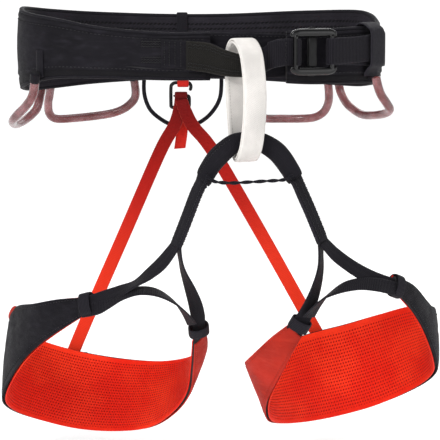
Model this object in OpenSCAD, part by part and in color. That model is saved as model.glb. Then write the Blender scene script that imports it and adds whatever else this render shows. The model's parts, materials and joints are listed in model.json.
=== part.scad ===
// Climbing sit harness as separate sewn, moulded and metal pieces. Millimetres.
// Origin: centre of the waistbelt ring. +X: to the right seen from the front.
// -Y: front (belay loop side). +Z: up.

/* [Waistbelt] */
// Half width of the belt pad's middle surface, side to side
belt_half_w = 147; // [120:1:190]
// Half depth of the belt pad's middle surface, front to back
belt_half_d = 79; // [65:1:110]
// Thickness of the belt's foam at its thickest
belt_foam_t = 5.6; // [3:0.2:9]

/* [Webbing] */
// Thickness of one layer of structural webbing
webbing_t = 2; // [1.4:0.1:3]
// Width of the belay loop's webbing
belay_w = 20; // [14:1:26]
// Thickness of each of the belay loop's two sewn layers
belay_layer_t = 1.9; // [1.2:0.1:3]

/* [Leg loops] */
// Thickness of a leg pad's foam at its thickest
leg_foam_t = 5; // [3:0.2:8]

/* [Gear loops] */
// Outer radius of the clear tube
tube_r = 3.7; // [3:0.1:5]
// Radius of the coloured core inside it
core_r = 2.1; // [1.2:0.1:2.6]

/* [Metal] */
// Radius of the rear hook's wire
wire_r = 1.5; // [1:0.1:2.5]
// Radius of the buckle's round bars
bar_r = 2.2; // [1.6:0.1:3]

/* [Hidden] */
skin_t = 1;            // softshell, mesh and lining fabric
sewn_gap = 0.12;       // between layers that are sewn together
belt_power = 0.833;    // squareness of the belt's plan shape, 1 is an ellipse
edge_foam = 0.3;       // share of foam thickness left at a pad's edge
tie_x = 36.4;          // belay loop's place on the tie-in webbing
tie_y = -95;
belay_yaw = 30;        // turn of the belay loop's webbing about its length
belay_r = 13.4;        // bend radius of the belay loop's ends, layer joint
belay_top_z = 4.4;     // centre of the top bend
belay_low_z = -62.8;   // centre of the bottom bend
bridge_z = -61.2;      // middle of the padded bridge where the loop carries it
hook_y = 85;           // plane of the rear hook
hook_top_z = -26;      // bar that hangs in the rear tab, also the hinge line
hook_low_z = -37.5;    // bar that carries the risers
buckle_at = [91, -79.5, 8];
buckle_turn = 19;

// ---------- curves ----------
function unit(v) = v / max(norm(v), 1e-9);
function mix(a, b, t) = a + (b - a) * t;
function spline(a, b, c, d, t) =
  0.5 * (2 * b + (c - a) * t + (2 * a - 5 * b + 4 * c - d) * t * t + (3 * b - a - 3 * c + d) * t * t * t);
function clamp_at(P, i) = P[max(0, min(len(P) - 1, i))];
function wrap_at(P, i) = P[(i + len(P)) % len(P)];
// Smooth open line through P, n steps between neighbours
function smooth(P, n) = concat(
  [for (i = [0:len(P) - 2]) for (k = [0:n - 1])
    spline(clamp_at(P, i - 1), P[i], P[i + 1], clamp_at(P, i + 2), k / n)],
  [P[len(P) - 1]]);
// Smooth closed line through P
function smooth_ring(P, n) =
  [for (i = [0:len(P) - 1]) for (k = [0:n - 1])
    spline(wrap_at(P, i - 1), P[i], wrap_at(P, i + 1), wrap_at(P, i + 2), k / n)];
function part_of(P, a, b) = [for (i = [a:b]) P[i]];

// ---------- swept solids ----------
// Join rings of points, each ring paired front to back: point j faces point m-1-j
module skin(rings, closed = false) {
  m = len(rings[0]);
  n = len(rings);
  points = [for (r = rings) for (p = r) p];
  walls = [for (i = [0:(closed ? n - 1 : n - 2)]) for (j = [0:m - 1])
    let (a = i * m + j, b = i * m + (j + 1) % m, c = ((i + 1) % n) * m + (j + 1) % m, d = ((i + 1) % n) * m + j)
    each [[a, d, c], [a, c, b]]];
  e = (n - 1) * m;
  caps = closed ? [] : [for (j = [0:m / 2 - 2])
    let (p = j, q = j + 1, r = m - 2 - j, s = m - 1 - j)
    each (q == r ? [[p, q, s], [e + p, e + s, e + q]]
      : [[p, q, r], [p, r, s], [e + p, e + r, e + q], [e + p, e + s, e + r]])];
  polyhedron(points, concat(walls, caps), convexity = 10);
}

// Hollow sweep with open ends: outer and inner rings of equal length
module skin_hollow(outer, inner) {
  m = len(outer[0]);
  n = len(outer);
  points = concat([for (r = outer) for (p = r) p], [for (r = inner) for (p = r) p]);
  o = n * m;
  walls = [for (i = [0:n - 2]) for (j = [0:m - 1])
    let (a = i * m + j, b = i * m + (j + 1) % m, c = a - j + m + (j + 1) % m, d = a + m)
    each [[a, d, c], [a, c, b], [o + a, o + c, o + d], [o + a, o + b, o + c]]];
  e = (n - 1) * m;
  caps = [for (j = [0:m - 1]) let (k = (j + 1) % m)
    each [[j, k, o + k], [j, o + k, o + j], [e + j, e + o + k, e + k], [e + j, e + o + j, e + o + k]]];
  polyhedron(points, concat(walls, caps), convexity = 10);
}

function tangent(M, i, closed) = closed
  ? unit(wrap_at(M, i + 1) - wrap_at(M, i - 1))
  : unit(clamp_at(M, i + 1) - clamp_at(M, i - 1));
// Rings for a band: stations are [top edge, lower edge]; section is [share across, offset] pairs
function band_rings(S, section, closed = false) =
  let (M = [for (s = S) (s[0] + s[1]) / 2])
  [for (i = [0:len(S) - 1])
    let (t = tangent(M, i, closed), w = S[i][0] - S[i][1], n = unit(cross(t, w)))
    [for (q = section) S[i][1] + w * q[0] + n * q[1]]];
// Flat webbing section between two offsets, edges slightly rounded
function webbing(lo, hi) = let (r = (hi - lo) * 0.25)
  [[0, lo + r], [0.05, lo], [0.95, lo], [1, lo + r], [1, hi - r], [0.95, hi], [0.05, hi], [0, hi - r]];
// Pad section: shares across and the two offset profiles
pad_across = [0, 0.12, 0.5, 0.88, 1];
function foam_half(t, s) = t / 2 * (edge_foam + (1 - edge_foam) * pow(sin(180 * s), 0.6));
function pad_section(t, lo_side, lo_add, hi_side, hi_add) = concat(
  [for (s = pad_across) [s, lo_side * foam_half(t, s) + lo_add]],
  [for (k = [len(pad_across) - 1:-1:0]) let (s = pad_across[k]) [s, hi_side * foam_half(t, s) + hi_add]]);
function foam_of(t) = pad_section(t, -1, 0, 1, 0);
function shell_of(t) = pad_section(t, 1, sewn_gap, 1, sewn_gap + skin_t);
function lining_of(t) = pad_section(t, -1, -sewn_gap - skin_t, -1, -sewn_gap);
module band(S, section, closed = false) {
  skin(band_rings(S, section, closed), closed);
}
// Stations from [centre, half width vector]
function from_mid(L) = [for (c = L) [c[0] + c[1], c[0] - c[1]]];

// Round sweep; ref is a direction never parallel to the path
function tube_rings(P, r, sides, ref, closed = false) =
  [for (i = [0:len(P) - 1])
    let (t = tangent(P, i, closed), w = unit(cross(ref, t)), n = cross(t, w))
    [for (k = [0:sides - 1]) let (a = 360 * (k + 0.5) / sides - 90) P[i] + r * (cos(a) * w + sin(a) * n)]];
module cord(P, r, sides, ref, closed = false) {
  skin(tube_rings(P, r, sides, ref, closed), closed);
}

// ---------- waistbelt ----------
// Edge heights: [turn from the front, lower edge, top edge]
belt_edges = [
  [-28, -11, 25], [-8, -12, 21], [10, -12, 21], [30, -15.5, 22], [50, -16, 24], [72, -17, 25], [90, -19, 27],
  [105, -22, 33], [120, -24, 35.5], [150, -22.5, 34], [180, -19.5, 31], [210, -22.5, 33], [235, -26, 36],
  [255, -26.5, 38.5], [270, -24, 39], [290, -18, 35.5], [312, -12, 31.5], [332, -11, 25], [352, -12, 21]];
function edge_low(a) = lookup(a, [for (e = belt_edges) [e[0], e[1]]]);
function edge_top(a) = lookup(a, [for (e = belt_edges) [e[0], e[2]]]);
function signed_pow(v) = sign(v) * pow(abs(v), belt_power);
function belt_xy(a) = [belt_half_w * signed_pow(sin(a)), -belt_half_d * signed_pow(cos(a))];
// Point on the belt at a turn, a height and a distance out from its middle surface
function on_belt(a, z, out) =
  let (p = belt_xy(a), d = unit(belt_xy(a + 1) - belt_xy(a - 1)))
  [p[0] + d[1] * out, p[1] - d[0] * out, z];
belt_from = 24;
belt_to = 362;
belt_pieces = 40;
belt_turns = [for (k = [0:belt_pieces]) mix(belt_from, belt_to, k / belt_pieces)];
belt_pad = [for (a = belt_turns) [on_belt(a, edge_top(a % 360), 0), on_belt(a, edge_low(a % 360), 0)]];
belt_face = belt_foam_t / 2 + sewn_gap + skin_t;
// Flat strap round the belt between two turns, constant clearance from the pad
function belt_run(from, to, steps, top, low, out) =
  [for (k = [0:steps]) let (a = from + (to - from) * k / steps)
    [on_belt(a, mix(top[0], top[1], k / steps), out), on_belt(a, mix(low[0], low[1], k / steps), out)]];
piping_r = 1.3;
piping_off = 1.7;
module belt_shell() {
  color("#1b1a1e") band(belt_pad, shell_of(belt_foam_t));
}
module belt_foam() {
  color("#2a2a2d") band(belt_pad, foam_of(belt_foam_t));
}
module belt_mesh() {
  color("#26252a") band(belt_pad, lining_of(belt_foam_t));
}
module belt_top_piping() {
  color("#141416")
    cord([for (a = belt_turns) on_belt(a, edge_top(a % 360) + piping_off, 0)], piping_r, 6, [0, 0, 1]);
}
module belt_lower_piping() {
  color("#141416")
    cord([for (a = belt_turns) on_belt(a, edge_low(a % 360) - piping_off, 0)], piping_r, 6, [0, 0, 1]);
}
// Thin comfort tongue behind the tie-in webbing, closing the gap between the pad's ends
tongue = from_mid([
  [[-30, -69.5, 5.5], [0, 0, 17]], [[-5, -70.5, 5.5], [0, 0, 18]], [[20, -70.2, 5], [0, 0, 18]],
  [[45, -69, 4.5], [0, 0, 18]], [[70, -66, 4.5], [0, 0, 17]], [[88, -60.5, 4.5], [0, 0, 16]]]);
module belt_tongue() {
  color("#222126") band(smooth(tongue, 4), webbing(-0.9, 0.9));
}
module belt_rear_label_tab() {
  color("#111114") translate([-16, on_belt(187, 0, -belt_face - 0.9)[1], 25.5]) cube([9, 1, 15], center = true);
}

// ---------- tie-in webbing, buckle and waist strap ----------
tie_in = from_mid([
  [[-30, -83.9, 7], [0, 0, 11]], [[-10, -84.6, 5.5], [0, 0, 11.4]], [[8, -87.6, 3.5], [0, 0, 11.8]],
  [[22, -94, -0.4], [0, 0, 10.2]], [[tie_x, -94.6, -2.2], [0, 0, 8.9]], [[49, -91, 0.8], [0, 0, 9.8]],
  [[59, -86.6, 6.2], [0, 0, 11]], [[66, -83.6, 8], [0, 0, 10.8]]]);
module tie_in_strap() {
  color("#161618") band(smooth(tie_in, 4), webbing(-webbing_t, 0));
}
module tie_in_wear_sleeve() {
  color("#202024") band(part_of(smooth(tie_in, 4), 4, 20), webbing(0.1, 1.6));
}
function in_buckle(x, y, z) =
  buckle_at + [cos(buckle_turn) * x - sin(buckle_turn) * y, sin(buckle_turn) * x + cos(buckle_turn) * y, z];
bar_x = 15.2;
wrap_r = bar_r + 0.4;
// Strap bent round an upright bar: stations over the outside of the bar
function bar_wrap(x, from, to, steps, top, low, r) =
  [for (k = [0:steps]) let (a = from + (to - from) * k / steps, p = in_buckle(x + r * cos(a), r * sin(a), 0))
    [[p[0], p[1], mix(top[0], top[1], k / steps)], [p[0], p[1], mix(low[0], low[1], k / steps)]]];
anchor = concat(
  from_mid([[[54, -87.6, 5.2], [0, 0, 11]], [[61, -85, 7], [0, 0, 11]], [[68, -82.2, 8], [0, 0, 10.8]]]),
  bar_wrap(-bar_x, 88, -84, 8, [18.5, 18.5], [-2.5, -2.5], wrap_r + webbing_t));
module buckle_anchor_strap() {
  color("#17171a") band(anchor, webbing(0, webbing_t));
}
frame_w = 40;
frame_h = 37;
frame_t = 3.4;
rail_h = 6.5;
module rounded_plate(w, h, t, r) {
  rotate([90, 0, 0]) linear_extrude(t, center = true) union() {
    square([w - 2 * r, h], center = true);
    square([w, h - 2 * r], center = true);
    for (x = [-1, 1]) for (z = [-1, 1])
      translate([x * (w / 2 - r), z * (h / 2 - r)]) circle(r, $fn = 32);
  }
}
module buckle_frame() {
  color("#101012") translate(buckle_at) rotate([0, 0, buckle_turn]) {
    difference() {
      rounded_plate(frame_w, frame_h, frame_t, 4);
      rounded_plate(frame_w + 10, frame_h - 2 * rail_h, frame_t + 2, 0.5);
    }
    for (x = [-1, 1]) translate([x * bar_x, 0, 0]) cylinder(h = frame_h - rail_h, r = bar_r, center = true, $fn = 32);
  }
}
slider_x = -1;
module buckle_slider() {
  color("#1c1c20") translate(buckle_at) rotate([0, 0, buckle_turn]) translate([slider_x, 0, 0]) {
    cube([7, 2.6, frame_h - 2 * rail_h - 0.8], center = true);
    translate([0, 2.7, 0]) cube([7, 1.6, frame_h + 2], center = true);
    translate([0, 1.4, 0]) cube([5, 2, frame_h - 2 * rail_h - 2], center = true);
  }
}
strap_wrap_top = [18.2, 19];
strap_wrap_low = [-3, -2.2];
strap_run_in = belt_run(96, 52, 11, [14, 17.6], [-8, -3.6], belt_face + 0.5 + webbing_t / 2);
tail_start = belt_face + 3.1 + webbing_t * 1.5;
tail_rest = belt_face + 1 + webbing_t * 1.5;
function tail_out(f) = mix(tail_start, tail_rest, min(1, 2 * f));
strap_run_out = [for (k = [0:8]) let (f = k / 8, a = mix(50, 76, f))
  [on_belt(a, mix(19.4, 22.4, f), tail_out(f)), on_belt(a, mix(-1.8, 0.6, f), tail_out(f))]];
strap_path = concat(
  strap_run_in,
  bar_wrap(bar_x, 82, 270, 10, strap_wrap_top, strap_wrap_low, wrap_r + webbing_t / 2),
  strap_run_out);
module waist_strap() {
  color("#17171a") band(strap_path, webbing(-webbing_t / 2, webbing_t / 2));
}
keeper_turn = 65;
keeper_hw = 10;
keeper_out = tail_rest + webbing_t / 2 + 1;
// Elastic sleeve over the strap: sewn to the shell below it, folded over the pad's top edge above it
module belt_keeper() {
  p = on_belt(keeper_turn, 0, 0);
  d = unit(on_belt(keeper_turn + 1, 0, 0) - on_belt(keeper_turn - 1, 0, 0));
  n = [d[1], -d[0], 0];
  top = edge_top(keeper_turn) + 4.6;
  line = [
    [belt_face + 0.9, -13], [belt_face + 1.2, -10], [belt_face + 3.4, -7], [keeper_out - 0.5, -4], [keeper_out, 0],
    [keeper_out, 11], [keeper_out, 20], [keeper_out - 1.2, 24.6], [belt_face + 1.8, 27.6], [2, top],
    [-2, top - 0.2], [-belt_face - 1.2, top - 4], [-belt_face - 1.3, top - 10]];
  color("#3a3b40") band(
    smooth([for (c = line) let (q = p + n * c[0])
      [[q[0], q[1], c[1]] + d * keeper_hw, [q[0], q[1], c[1]] - d * keeper_hw]], 3),
    webbing(-0.7, 0.7));
}

// ---------- gear loops and haul loop ----------
gear_out = belt_face + 1.9 + tube_r;
function gear_end(a, z) = on_belt(a, z, gear_out);
gear_fl = concat([gear_end(-56, -11)], [
  [-134.4, -48, -27], [-141, -38, -37.5], [-151, -24, -47.5], [-155, -8, -53], [-153.9, 8, -56], [-148, 26, -54],
  [-139.6, 41, -46], [-136.6, 50.4, -33]], [gear_end(238, -20)]);
gear_rl = concat([gear_end(233, -20)], [
  [-130.5, 71, -35], [-132.6, 81, -44], [-132.2, 88, -53], [-126.5, 93, -58], [-110.6, 98, -57.8],
  [-88.8, 101, -55.6], [-74, 102, -52.6], [-63, 101, -46.4], [-57.3, 97, -37]], [gear_end(199, -17)]);
gear_rr = concat([gear_end(167, -16)], [
  [33, 95, -36], [39, 99, -52], [54, 101, -58], [72, 101, -58.6], [87, 99, -58.4], [99, 94.5, -57],
  [107, 88.5, -52], [110.8, 82, -43.5], [111, 75, -34]], [gear_end(138, -20)]);
gear_fr = concat([gear_end(65, -14)], [
  [145, -42.5, -22], [148, -37, -29], [153, -30, -36.2], [156.1, -21, -41.8], [153.2, -10, -45.8],
  [144.8, 8, -48.6], [136.3, 26, -49.2], [127.5, 44, -44.1], [122.6, 57.5, -37.5], [119.8, 65.4, -30]], [gear_end(133, -19)]);
module gear_tube(P, ref) {
  L = smooth(P, 2);
  color("#d9d2d6", 0.5)
    skin_hollow(tube_rings(L, tube_r, 8, ref), tube_rings(L, core_r + 0.35, 8, ref));
}
module gear_core(P, ref) {
  color("#b0413c") cord(smooth(P, 2), core_r, 6, ref);
}
side_ref = [0.8, 0, 0.6];
rear_ref = [0, 1, 0];
module gear_tube_front_left() {
  gear_tube(gear_fl, side_ref);
}
module gear_core_front_left() {
  gear_core(gear_fl, side_ref);
}
module gear_tube_rear_left() {
  gear_tube(gear_rl, rear_ref);
}
module gear_core_rear_left() {
  gear_core(gear_rl, rear_ref);
}
module gear_tube_rear_right() {
  gear_tube(gear_rr, rear_ref);
}
module gear_core_rear_right() {
  gear_core(gear_rr, rear_ref);
}
module gear_tube_front_right() {
  gear_tube(gear_fr, -side_ref);
}
module gear_core_front_right() {
  gear_core(gear_fr, -side_ref);
}
// Sewn patches that carry the tube ends: [turn, lower edge, top edge]
gear_seats = [[304, -13.5, 8], [238, -24, -4], [233, -24, -4], [199, -20, -2], [167, -19.5, -1], [138, -24, -4],
  [65, -16.4, -13.4], [133, -24, -4]];
module gear_patches() {
  color("#19191c") for (s = gear_seats)
    band(belt_run(s[0] - 2.3, s[0] + 2.3, 2, [s[2], s[2]], [s[1], s[1]], belt_face + 0.15),
      webbing(0, 1.1));
}
haul_axis_z = -16;
haul_path = [
  [-49, 87, haul_axis_z], [-49.5, 90, -35], [-45, 93, -49], [-36, 95.5, -58], [-25, 97, -64], [-14, 97.5, -66],
  [-1, 97, -61.5], [10, 95, -52], [17, 91, -38], [18, 88.5, haul_axis_z]];
module haul_loop() {
  color("#141416") cord(smooth(haul_path, 3), 1.8, 6, [0, 1, 0]);
}

// ---------- rear hook and risers ----------
tab_x = -15.5;
tab_w = 10;
tab_r = wire_r + 0.5 + webbing_t / 2;
tab_path = concat(
  [[hook_y - 1.6, -4], [hook_y - 2.6, -14], [hook_y - tab_r, hook_top_z + 3]],
  [for (a = [180:30:360]) [hook_y + tab_r * cos(a), hook_top_z + tab_r * sin(a)]],
  [[hook_y + 1.2, -14], [hook_y + 1.2, -4]]);
module rear_hook_tab() {
  color("#b31f1c") band(
    [for (p = tab_path) [[tab_x - tab_w / 2, p[0], p[1]], [tab_x + tab_w / 2, p[0], p[1]]]],
    webbing(-webbing_t / 2, webbing_t / 2));
}
hook_left = -26;
hook_right = -8.6;
frame_low_z = -47.5;
frame_right = hook_right - 1.5;
// One bent wire: open tip, top bar, long side, then the square frame that carries the risers
hook_path = [
  [hook_right - 1, hook_top_z - 7], [hook_right, hook_top_z - 4], [hook_right - 0.6, hook_top_z - 1.4],
  [hook_right - 3, hook_top_z], [hook_left + 4.5, hook_top_z], [hook_left + 1.3, hook_top_z - 1.3],
  [hook_left, hook_top_z - 4.5], [hook_left, frame_low_z + 2], [hook_left + 0.6, frame_low_z + 0.6],
  [hook_left + 2, frame_low_z], [frame_right - 2, frame_low_z], [frame_right - 0.6, frame_low_z + 0.6],
  [frame_right, frame_low_z + 2], [frame_right, hook_low_z - 2], [frame_right - 0.6, hook_low_z - 0.6],
  [frame_right - 2, hook_low_z], [hook_left + wire_r + 0.4, hook_low_z]];
module rear_hook() {
  color("#0e0e10") cord([for (p = hook_path) [p[0], hook_y, p[1]]], wire_r, 12, [0, 1, 0]);
}
riser_x = -17.2;
riser_w = 11;
riser_t = 1.6;
// Short doubled loop of webbing round the hook's lower bar
wrap_path = concat(
  [[hook_y - 2.9, -43.5], [hook_y - 2.9, -41]],
  [for (a = [180:-30:0]) [hook_y + 2.9 * cos(a), hook_low_z + 2.9 * sin(a)]],
  [[hook_y + 2.9, -41], [hook_y + 2.9, -43.5]]);
module riser_top_wrap() {
  color("#9c1512") band(
    [for (p = wrap_path) [[riser_x + riser_w / 2, p[0], p[1]], [riser_x - riser_w / 2, p[0], p[1]]]],
    webbing(-riser_t / 2, riser_t / 2));
}
module riser_tail() {
  color("#d8241a") band(from_mid([
    [[riser_x - 0.5, 89.7, -42.5], [5, 0, 0]], [[-16.8, 89.9, -56], [5, 0, 0]], [[-16.5, 90.6, -68], [5, 0, 0]],
    [[-18.5, 91.2, -84], [5, 0, 0.4]]]),
    webbing(-0.8, 0.8));
}
left_riser_path = from_mid([
  [[-17.4, 80.2, -40.5], [5.4, 0, -0.6]], [[-18.6, 80.2, -49], [5.3, 0, -1.4]], [[-22.9, 81.4, -63], [5.3, 0, -2.1]],
  [[-36, 84.6, -87], [5.2, 0, -2.3]],
  [[-67, 85.8, -158], [5.2, 0, -2.3]], [[-100, 85.4, -233], [5.2, 0, -2.3]], [[-115.5, 85.2, -270], [5.2, 0, -2.2]]]);
right_riser_path = from_mid([
  [[-17, 78, -40.5], [5.4, 0, 0.8]], [[-13.2, 78, -51], [5.3, 0, 2]], [[-6.4, 79.6, -64], [5.1, 0, 2.7]],
  [[12, 84, -88], [5, 0, 2.9]],
  [[56, 85.8, -164], [4.9, 0, 2.9]], [[98, 82.6, -239], [4.9, 0, 2.9]], [[109, 82, -258], [4.9, 0, 2.9]]]);
module riser_left() {
  color("#e02a1b") band(smooth(left_riser_path, 3), webbing(-riser_t / 2, riser_t / 2));
}
module riser_right() {
  color("#e02a1b") band(smooth(right_riser_path, 3), webbing(-riser_t / 2, riser_t / 2));
}

// ---------- belay loop ----------
belay_path = concat(
  [for (a = [0:22.5:180]) [belay_r * cos(a), belay_top_z + belay_r * sin(a)]],
  [for (k = [1:3]) [-belay_r, mix(belay_top_z, belay_low_z, k / 4)]],
  [for (a = [180:22.5:360]) [belay_r * cos(a), belay_low_z + belay_r * sin(a)]],
  [for (k = [1:3]) [belay_r, mix(belay_low_z, belay_top_z, k / 4)]]);
function in_belay(u, v, z) =
  [tie_x - sin(belay_yaw) * u + cos(belay_yaw) * v, tie_y + cos(belay_yaw) * u + sin(belay_yaw) * v, z];
module belay_layer(lo, hi) {
  color("#f2f1ee") band(
    [for (p = belay_path) [in_belay(p[0], -belay_w / 2, p[1]), in_belay(p[0], belay_w / 2, p[1])]],
    webbing(lo, hi), closed = true);
}
module belay_loop_outer() {
  belay_layer(0.06, belay_layer_t);
}
module belay_loop_inner() {
  belay_layer(-belay_layer_t, -0.06);
}

// ---------- padded bridge ----------
bridge_path = from_mid([
  [[3.2, -95, -92], [-5, 0, 6]], [[10.5, -97.4, -79.5], [-5, 0, 6.2]], [[18, -99.8, -70.8], [-4.6, 0, 6.6]],
  [[27.5, -99.4, -63.4], [-2.6, 0, 7.2]], [[tie_x + 0.6, -95, bridge_z], [0, 0, 6.9]],
  [[48, -90, -62.6], [2.2, 0, 7.2]], [[59.5, -88.6, -69], [4.4, 0, 6.6]], [[67.5, -91.2, -77.5], [5.3, 0, 5.9]],
  [[76.5, -95, -91.5], [5.6, 0, 4.6]]]);
bridge_band = smooth(bridge_path, 3);
sleeve_outer = [[0, -1.8], [0.16, -3.8], [0.84, -3.8], [1, -1.8], [1, 1.8], [0.84, 3.8], [0.16, 3.8], [0, 1.8]];
sleeve_inner = [[0.12, -1.4], [0.2, -1.7], [0.8, -1.7], [0.88, -1.4], [0.88, 1.4], [0.8, 1.7], [0.2, 1.7], [0.12, 1.4]];
module bridge_sleeve() {
  color("#151517") skin_hollow(band_rings(bridge_band, sleeve_outer), band_rings(bridge_band, sleeve_inner));
}
module bridge_webbing() {
  color("#1b1b1e") band(bridge_band,
    [[0.15, -1], [0.2, -1.3], [0.8, -1.3], [0.85, -1], [0.85, 1], [0.8, 1.3], [0.2, 1.3], [0.15, 1]]);
}
module bridge_cord() {
  color("#18181a") cord(smooth([
    [5.5, -102.4, -88], [12, -103.6, -92.6], [24, -103, -94], [38, -101, -93.6], [54, -101.4, -92.6],
    [67, -102.2, -91.5], [74.5, -101.6, -88]], 3), 1, 6, [0, 1, 0]);
}

// ---------- leg loops ----------
// Pad stations [top edge, lower edge], from the inner thigh round the back to the front wing
left_pad = smooth([
  [[3.5, -59, -219], [-5, -54, -231]], [[5, -36, -230], [-6.5, -26, -255]], [[3, -5, -244], [-10.5, 2, -284]],
  [[-9, 28, -258], [-24, 32, -308]], [[-36, 58, -267], [-45, 58, -326]], [[-71, 76, -268], [-76, 76, -333]],
  [[-107, 78, -262], [-111, 74, -330]], [[-137, 70, -252], [-145, 58, -318]], [[-156, 48, -240], [-164, 30, -303]],
  [[-160, 18, -222], [-165, -5, -284]], [[-151, -13, -207], [-150, -35, -255]], [[-135, -42, -200], [-132, -52, -234]],
  [[-113, -62, -193], [-111, -66, -217]], [[-88, -77, -189], [-86, -77, -200]]], 3);
right_pad = smooth([
  [[157, -75, -172], [156, -73, -184]], [[173, -52, -183], [172, -55, -202]], [[187, -22, -201], [185, -37, -223]],
  [[197, 8, -214], [197, -8, -253]], [[197, 37, -215], [199, 20, -271]], [[182, 60, -219], [186, 48, -289]],
  [[157, 73, -228], [157, 68, -307]], [[126, 77, -238], [127, 73, -317]], [[95, 71, -245], [96, 62, -321]],
  [[67, 51, -252], [69, 38, -318]], [[47, 24, -258], [58, 7, -307]], [[39, -8, -255], [57, -22, -286]],
  [[45, -38, -242], [66, -48, -260]], [[58, -62, -225], [75, -66, -238]], [[74, -79, -210], [83, -76, -221]]], 3);
left_split = 15;
left_last = len(left_pad) - 1;
right_split = 25;
right_last = len(right_pad) - 1;
module leg_foam(S) {
  color("#2a2a2d") band(S, foam_of(leg_foam_t));
}
module leg_lining(S) {
  color("#ff3b1f") band(S, lining_of(leg_foam_t));
}
module leg_skin(S, tint) {
  color(tint) band(S, shell_of(leg_foam_t));
}
module left_leg_foam() {
  leg_foam(left_pad);
}
module left_leg_mesh() {
  leg_lining(left_pad);
}
module left_leg_outer_shell() {
  leg_skin(part_of(left_pad, left_split, left_last), "#19181b");
}
module left_leg_thigh_panel() {
  leg_skin(part_of(left_pad, 0, left_split), "#f23a22");
}
module right_leg_foam() {
  leg_foam(right_pad);
}
module right_leg_mesh() {
  leg_lining(right_pad);
}
module right_leg_outer_shell() {
  leg_skin(part_of(right_pad, 0, right_split), "#19181b");
}
module right_leg_thigh_panel() {
  leg_skin(part_of(right_pad, right_split, right_last), "#f23a22");
}

// Doubled webbing below the bridge, then the strands that spread from it
module strand(P, lo, hi) {
  color("#17171a") band(smooth(from_mid(P), 3), webbing(lo, hi));
}
module left_yoke() {
  strand([
    [[1.7, -95, -95.1], [-3.6, 5.4, 1.9]], [[-2.5, -95.2, -104], [-3.7, 5.4, 1.8]],
    [[-8, -96, -118.5], [-3.7, 5.5, 1.6]], [[-13.2, -97, -132], [-3.7, 5.6, 1.5]], [[-18.4, -98, -145], [-3.6, 5.7, 1.4]]],
    -2, 2);
}
module left_outer_strand() {
  strand([
    [[-18.8, -97.9, -144.4], [-3.3, 5.5, 1.6]], [[-29, -96.5, -158], [-3.3, 5.4, 3.2]], [[-40, -94.5, -168], [-2.4, 6.4, 2.8]],
    [[-51, -91.5, -176], [-1, 7, 1.5]], [[-63, -88.5, -182.5], [-0.5, 6, 4]], [[-75, -85.5, -188.5], [0, 3.2, 6.4]],
    [[-88, -82.4, -194], [0, 0.6, 7.2]], [[-97, -78.4, -197.5], [0, 0.4, 7.2]]], -0.9, 0.9);
}
module left_inner_strand() {
  strand([
    [[-17.4, -98.4, -143.6], [-2.2, 6.2, 1]], [[-15.6, -98, -156], [-1.6, 6.8, 0.5]], [[-13, -94, -167], [-2.6, 6.4, 0]],
    [[-8, -87, -181], [-4.4, 5.2, -1]], [[-3.6, -78, -195], [-5.4, 3.6, -2.2]], [[-0.8, -68, -209], [-5.4, 2.2, -3.4]],
    [[0, -59, -221], [-4.8, 1.8, -4.8]], [[0.6, -50, -229], [-4.2, 1.6, -6]]], 0.1, 1.9);
}
module left_cross_strap() {
  strand([
    [[-94, -82.2, -199.5], [0, 0.4, 5.6]], [[-80, -87.4, -196], [0, 2.6, 5]], [[-70, -91, -190.5], [0.6, 4.4, 4.2]],
    [[-60, -93.6, -184.8], [0.6, 5.4, 3.2]], [[-47, -95.4, -181], [0.4, 5.8, 2.6]], [[-33, -94.6, -182.8], [-0.8, 5.8, 2.4]],
    [[-20, -89.6, -191], [-2.2, 5.2, 1.8]], [[-11, -81.6, -202], [-3.4, 4.4, 0.4]], [[-6, -73, -212], [-3.8, 3.6, -1]]],
    -0.8, 0.8);
}
module right_yoke() {
  strand([
    [[78, -95, -94.4], [3.6, 5.4, 2]], [[82, -95.3, -103.5], [3.7, 5.4, 2]], [[88, -96.2, -117], [3.7, 5.5, 1.9]],
    [[93.4, -97.2, -130], [3.7, 5.6, 1.8]], [[97.8, -98, -141], [3.7, 5.7, 1.6]]], -2, 2);
}
module right_outer_strand() {
  strand([
    [[98.8, -97.8, -140.2], [3, 5.6, 2]], [[108, -96.8, -150.5], [2.2, 4.6, 4.2]], [[117, -95.4, -158], [1.6, 3.6, 5]],
    [[127, -92.4, -165], [1.2, 3.2, 5.4]], [[138, -87.6, -171.6], [1, 2.6, 5.8]], [[148, -82, -176.6], [0.8, 1.8, 6.2]],
    [[158, -75.6, -181], [0.6, 1.2, 6.6]], [[165, -68.4, -184.4], [0.4, 1, 6.8]]], -1.9, -0.1);
}
module right_inner_strand() {
  strand([
    [[97.4, -98.8, -139.6], [2.4, 6.2, 0.8]], [[97.6, -98.9, -152], [2, 6.6, 0.3]], [[97.4, -98, -162], [2.6, 6.4, 0]],
    [[95.6, -95.4, -173], [3.6, 5.8, -0.4]], [[92, -91.6, -186], [4.6, 4.8, -1.4]], [[87, -87.2, -199], [5.2, 3.2, -3]],
    [[81, -82.6, -210.4], [5, 2, -4.6]], [[74.6, -77, -219.4], [4.6, 2, -6]]], -1.9, -0.1);
}
module right_cross_strap() {
  strand([
    [[88, -86.6, -203.5], [4.8, 3.4, -0.6]], [[93.4, -91.8, -194.6], [4.4, 4.4, 0.8]], [[101.4, -96, -185.4], [3.4, 4.8, 2]],
    [[113, -98.4, -178.4], [1.6, 4.8, 3.6]], [[127, -98, -175.2], [0, 4.8, 4.2]], [[141, -92.2, -176.6], [-0.4, 4, 5]],
    [[152, -84.6, -179.8], [-0.4, 2.4, 5.6]], [[160.6, -77.4, -183.4], [-0.4, 1.2, 5.8]]], -0.8, 0.8);
}
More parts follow.
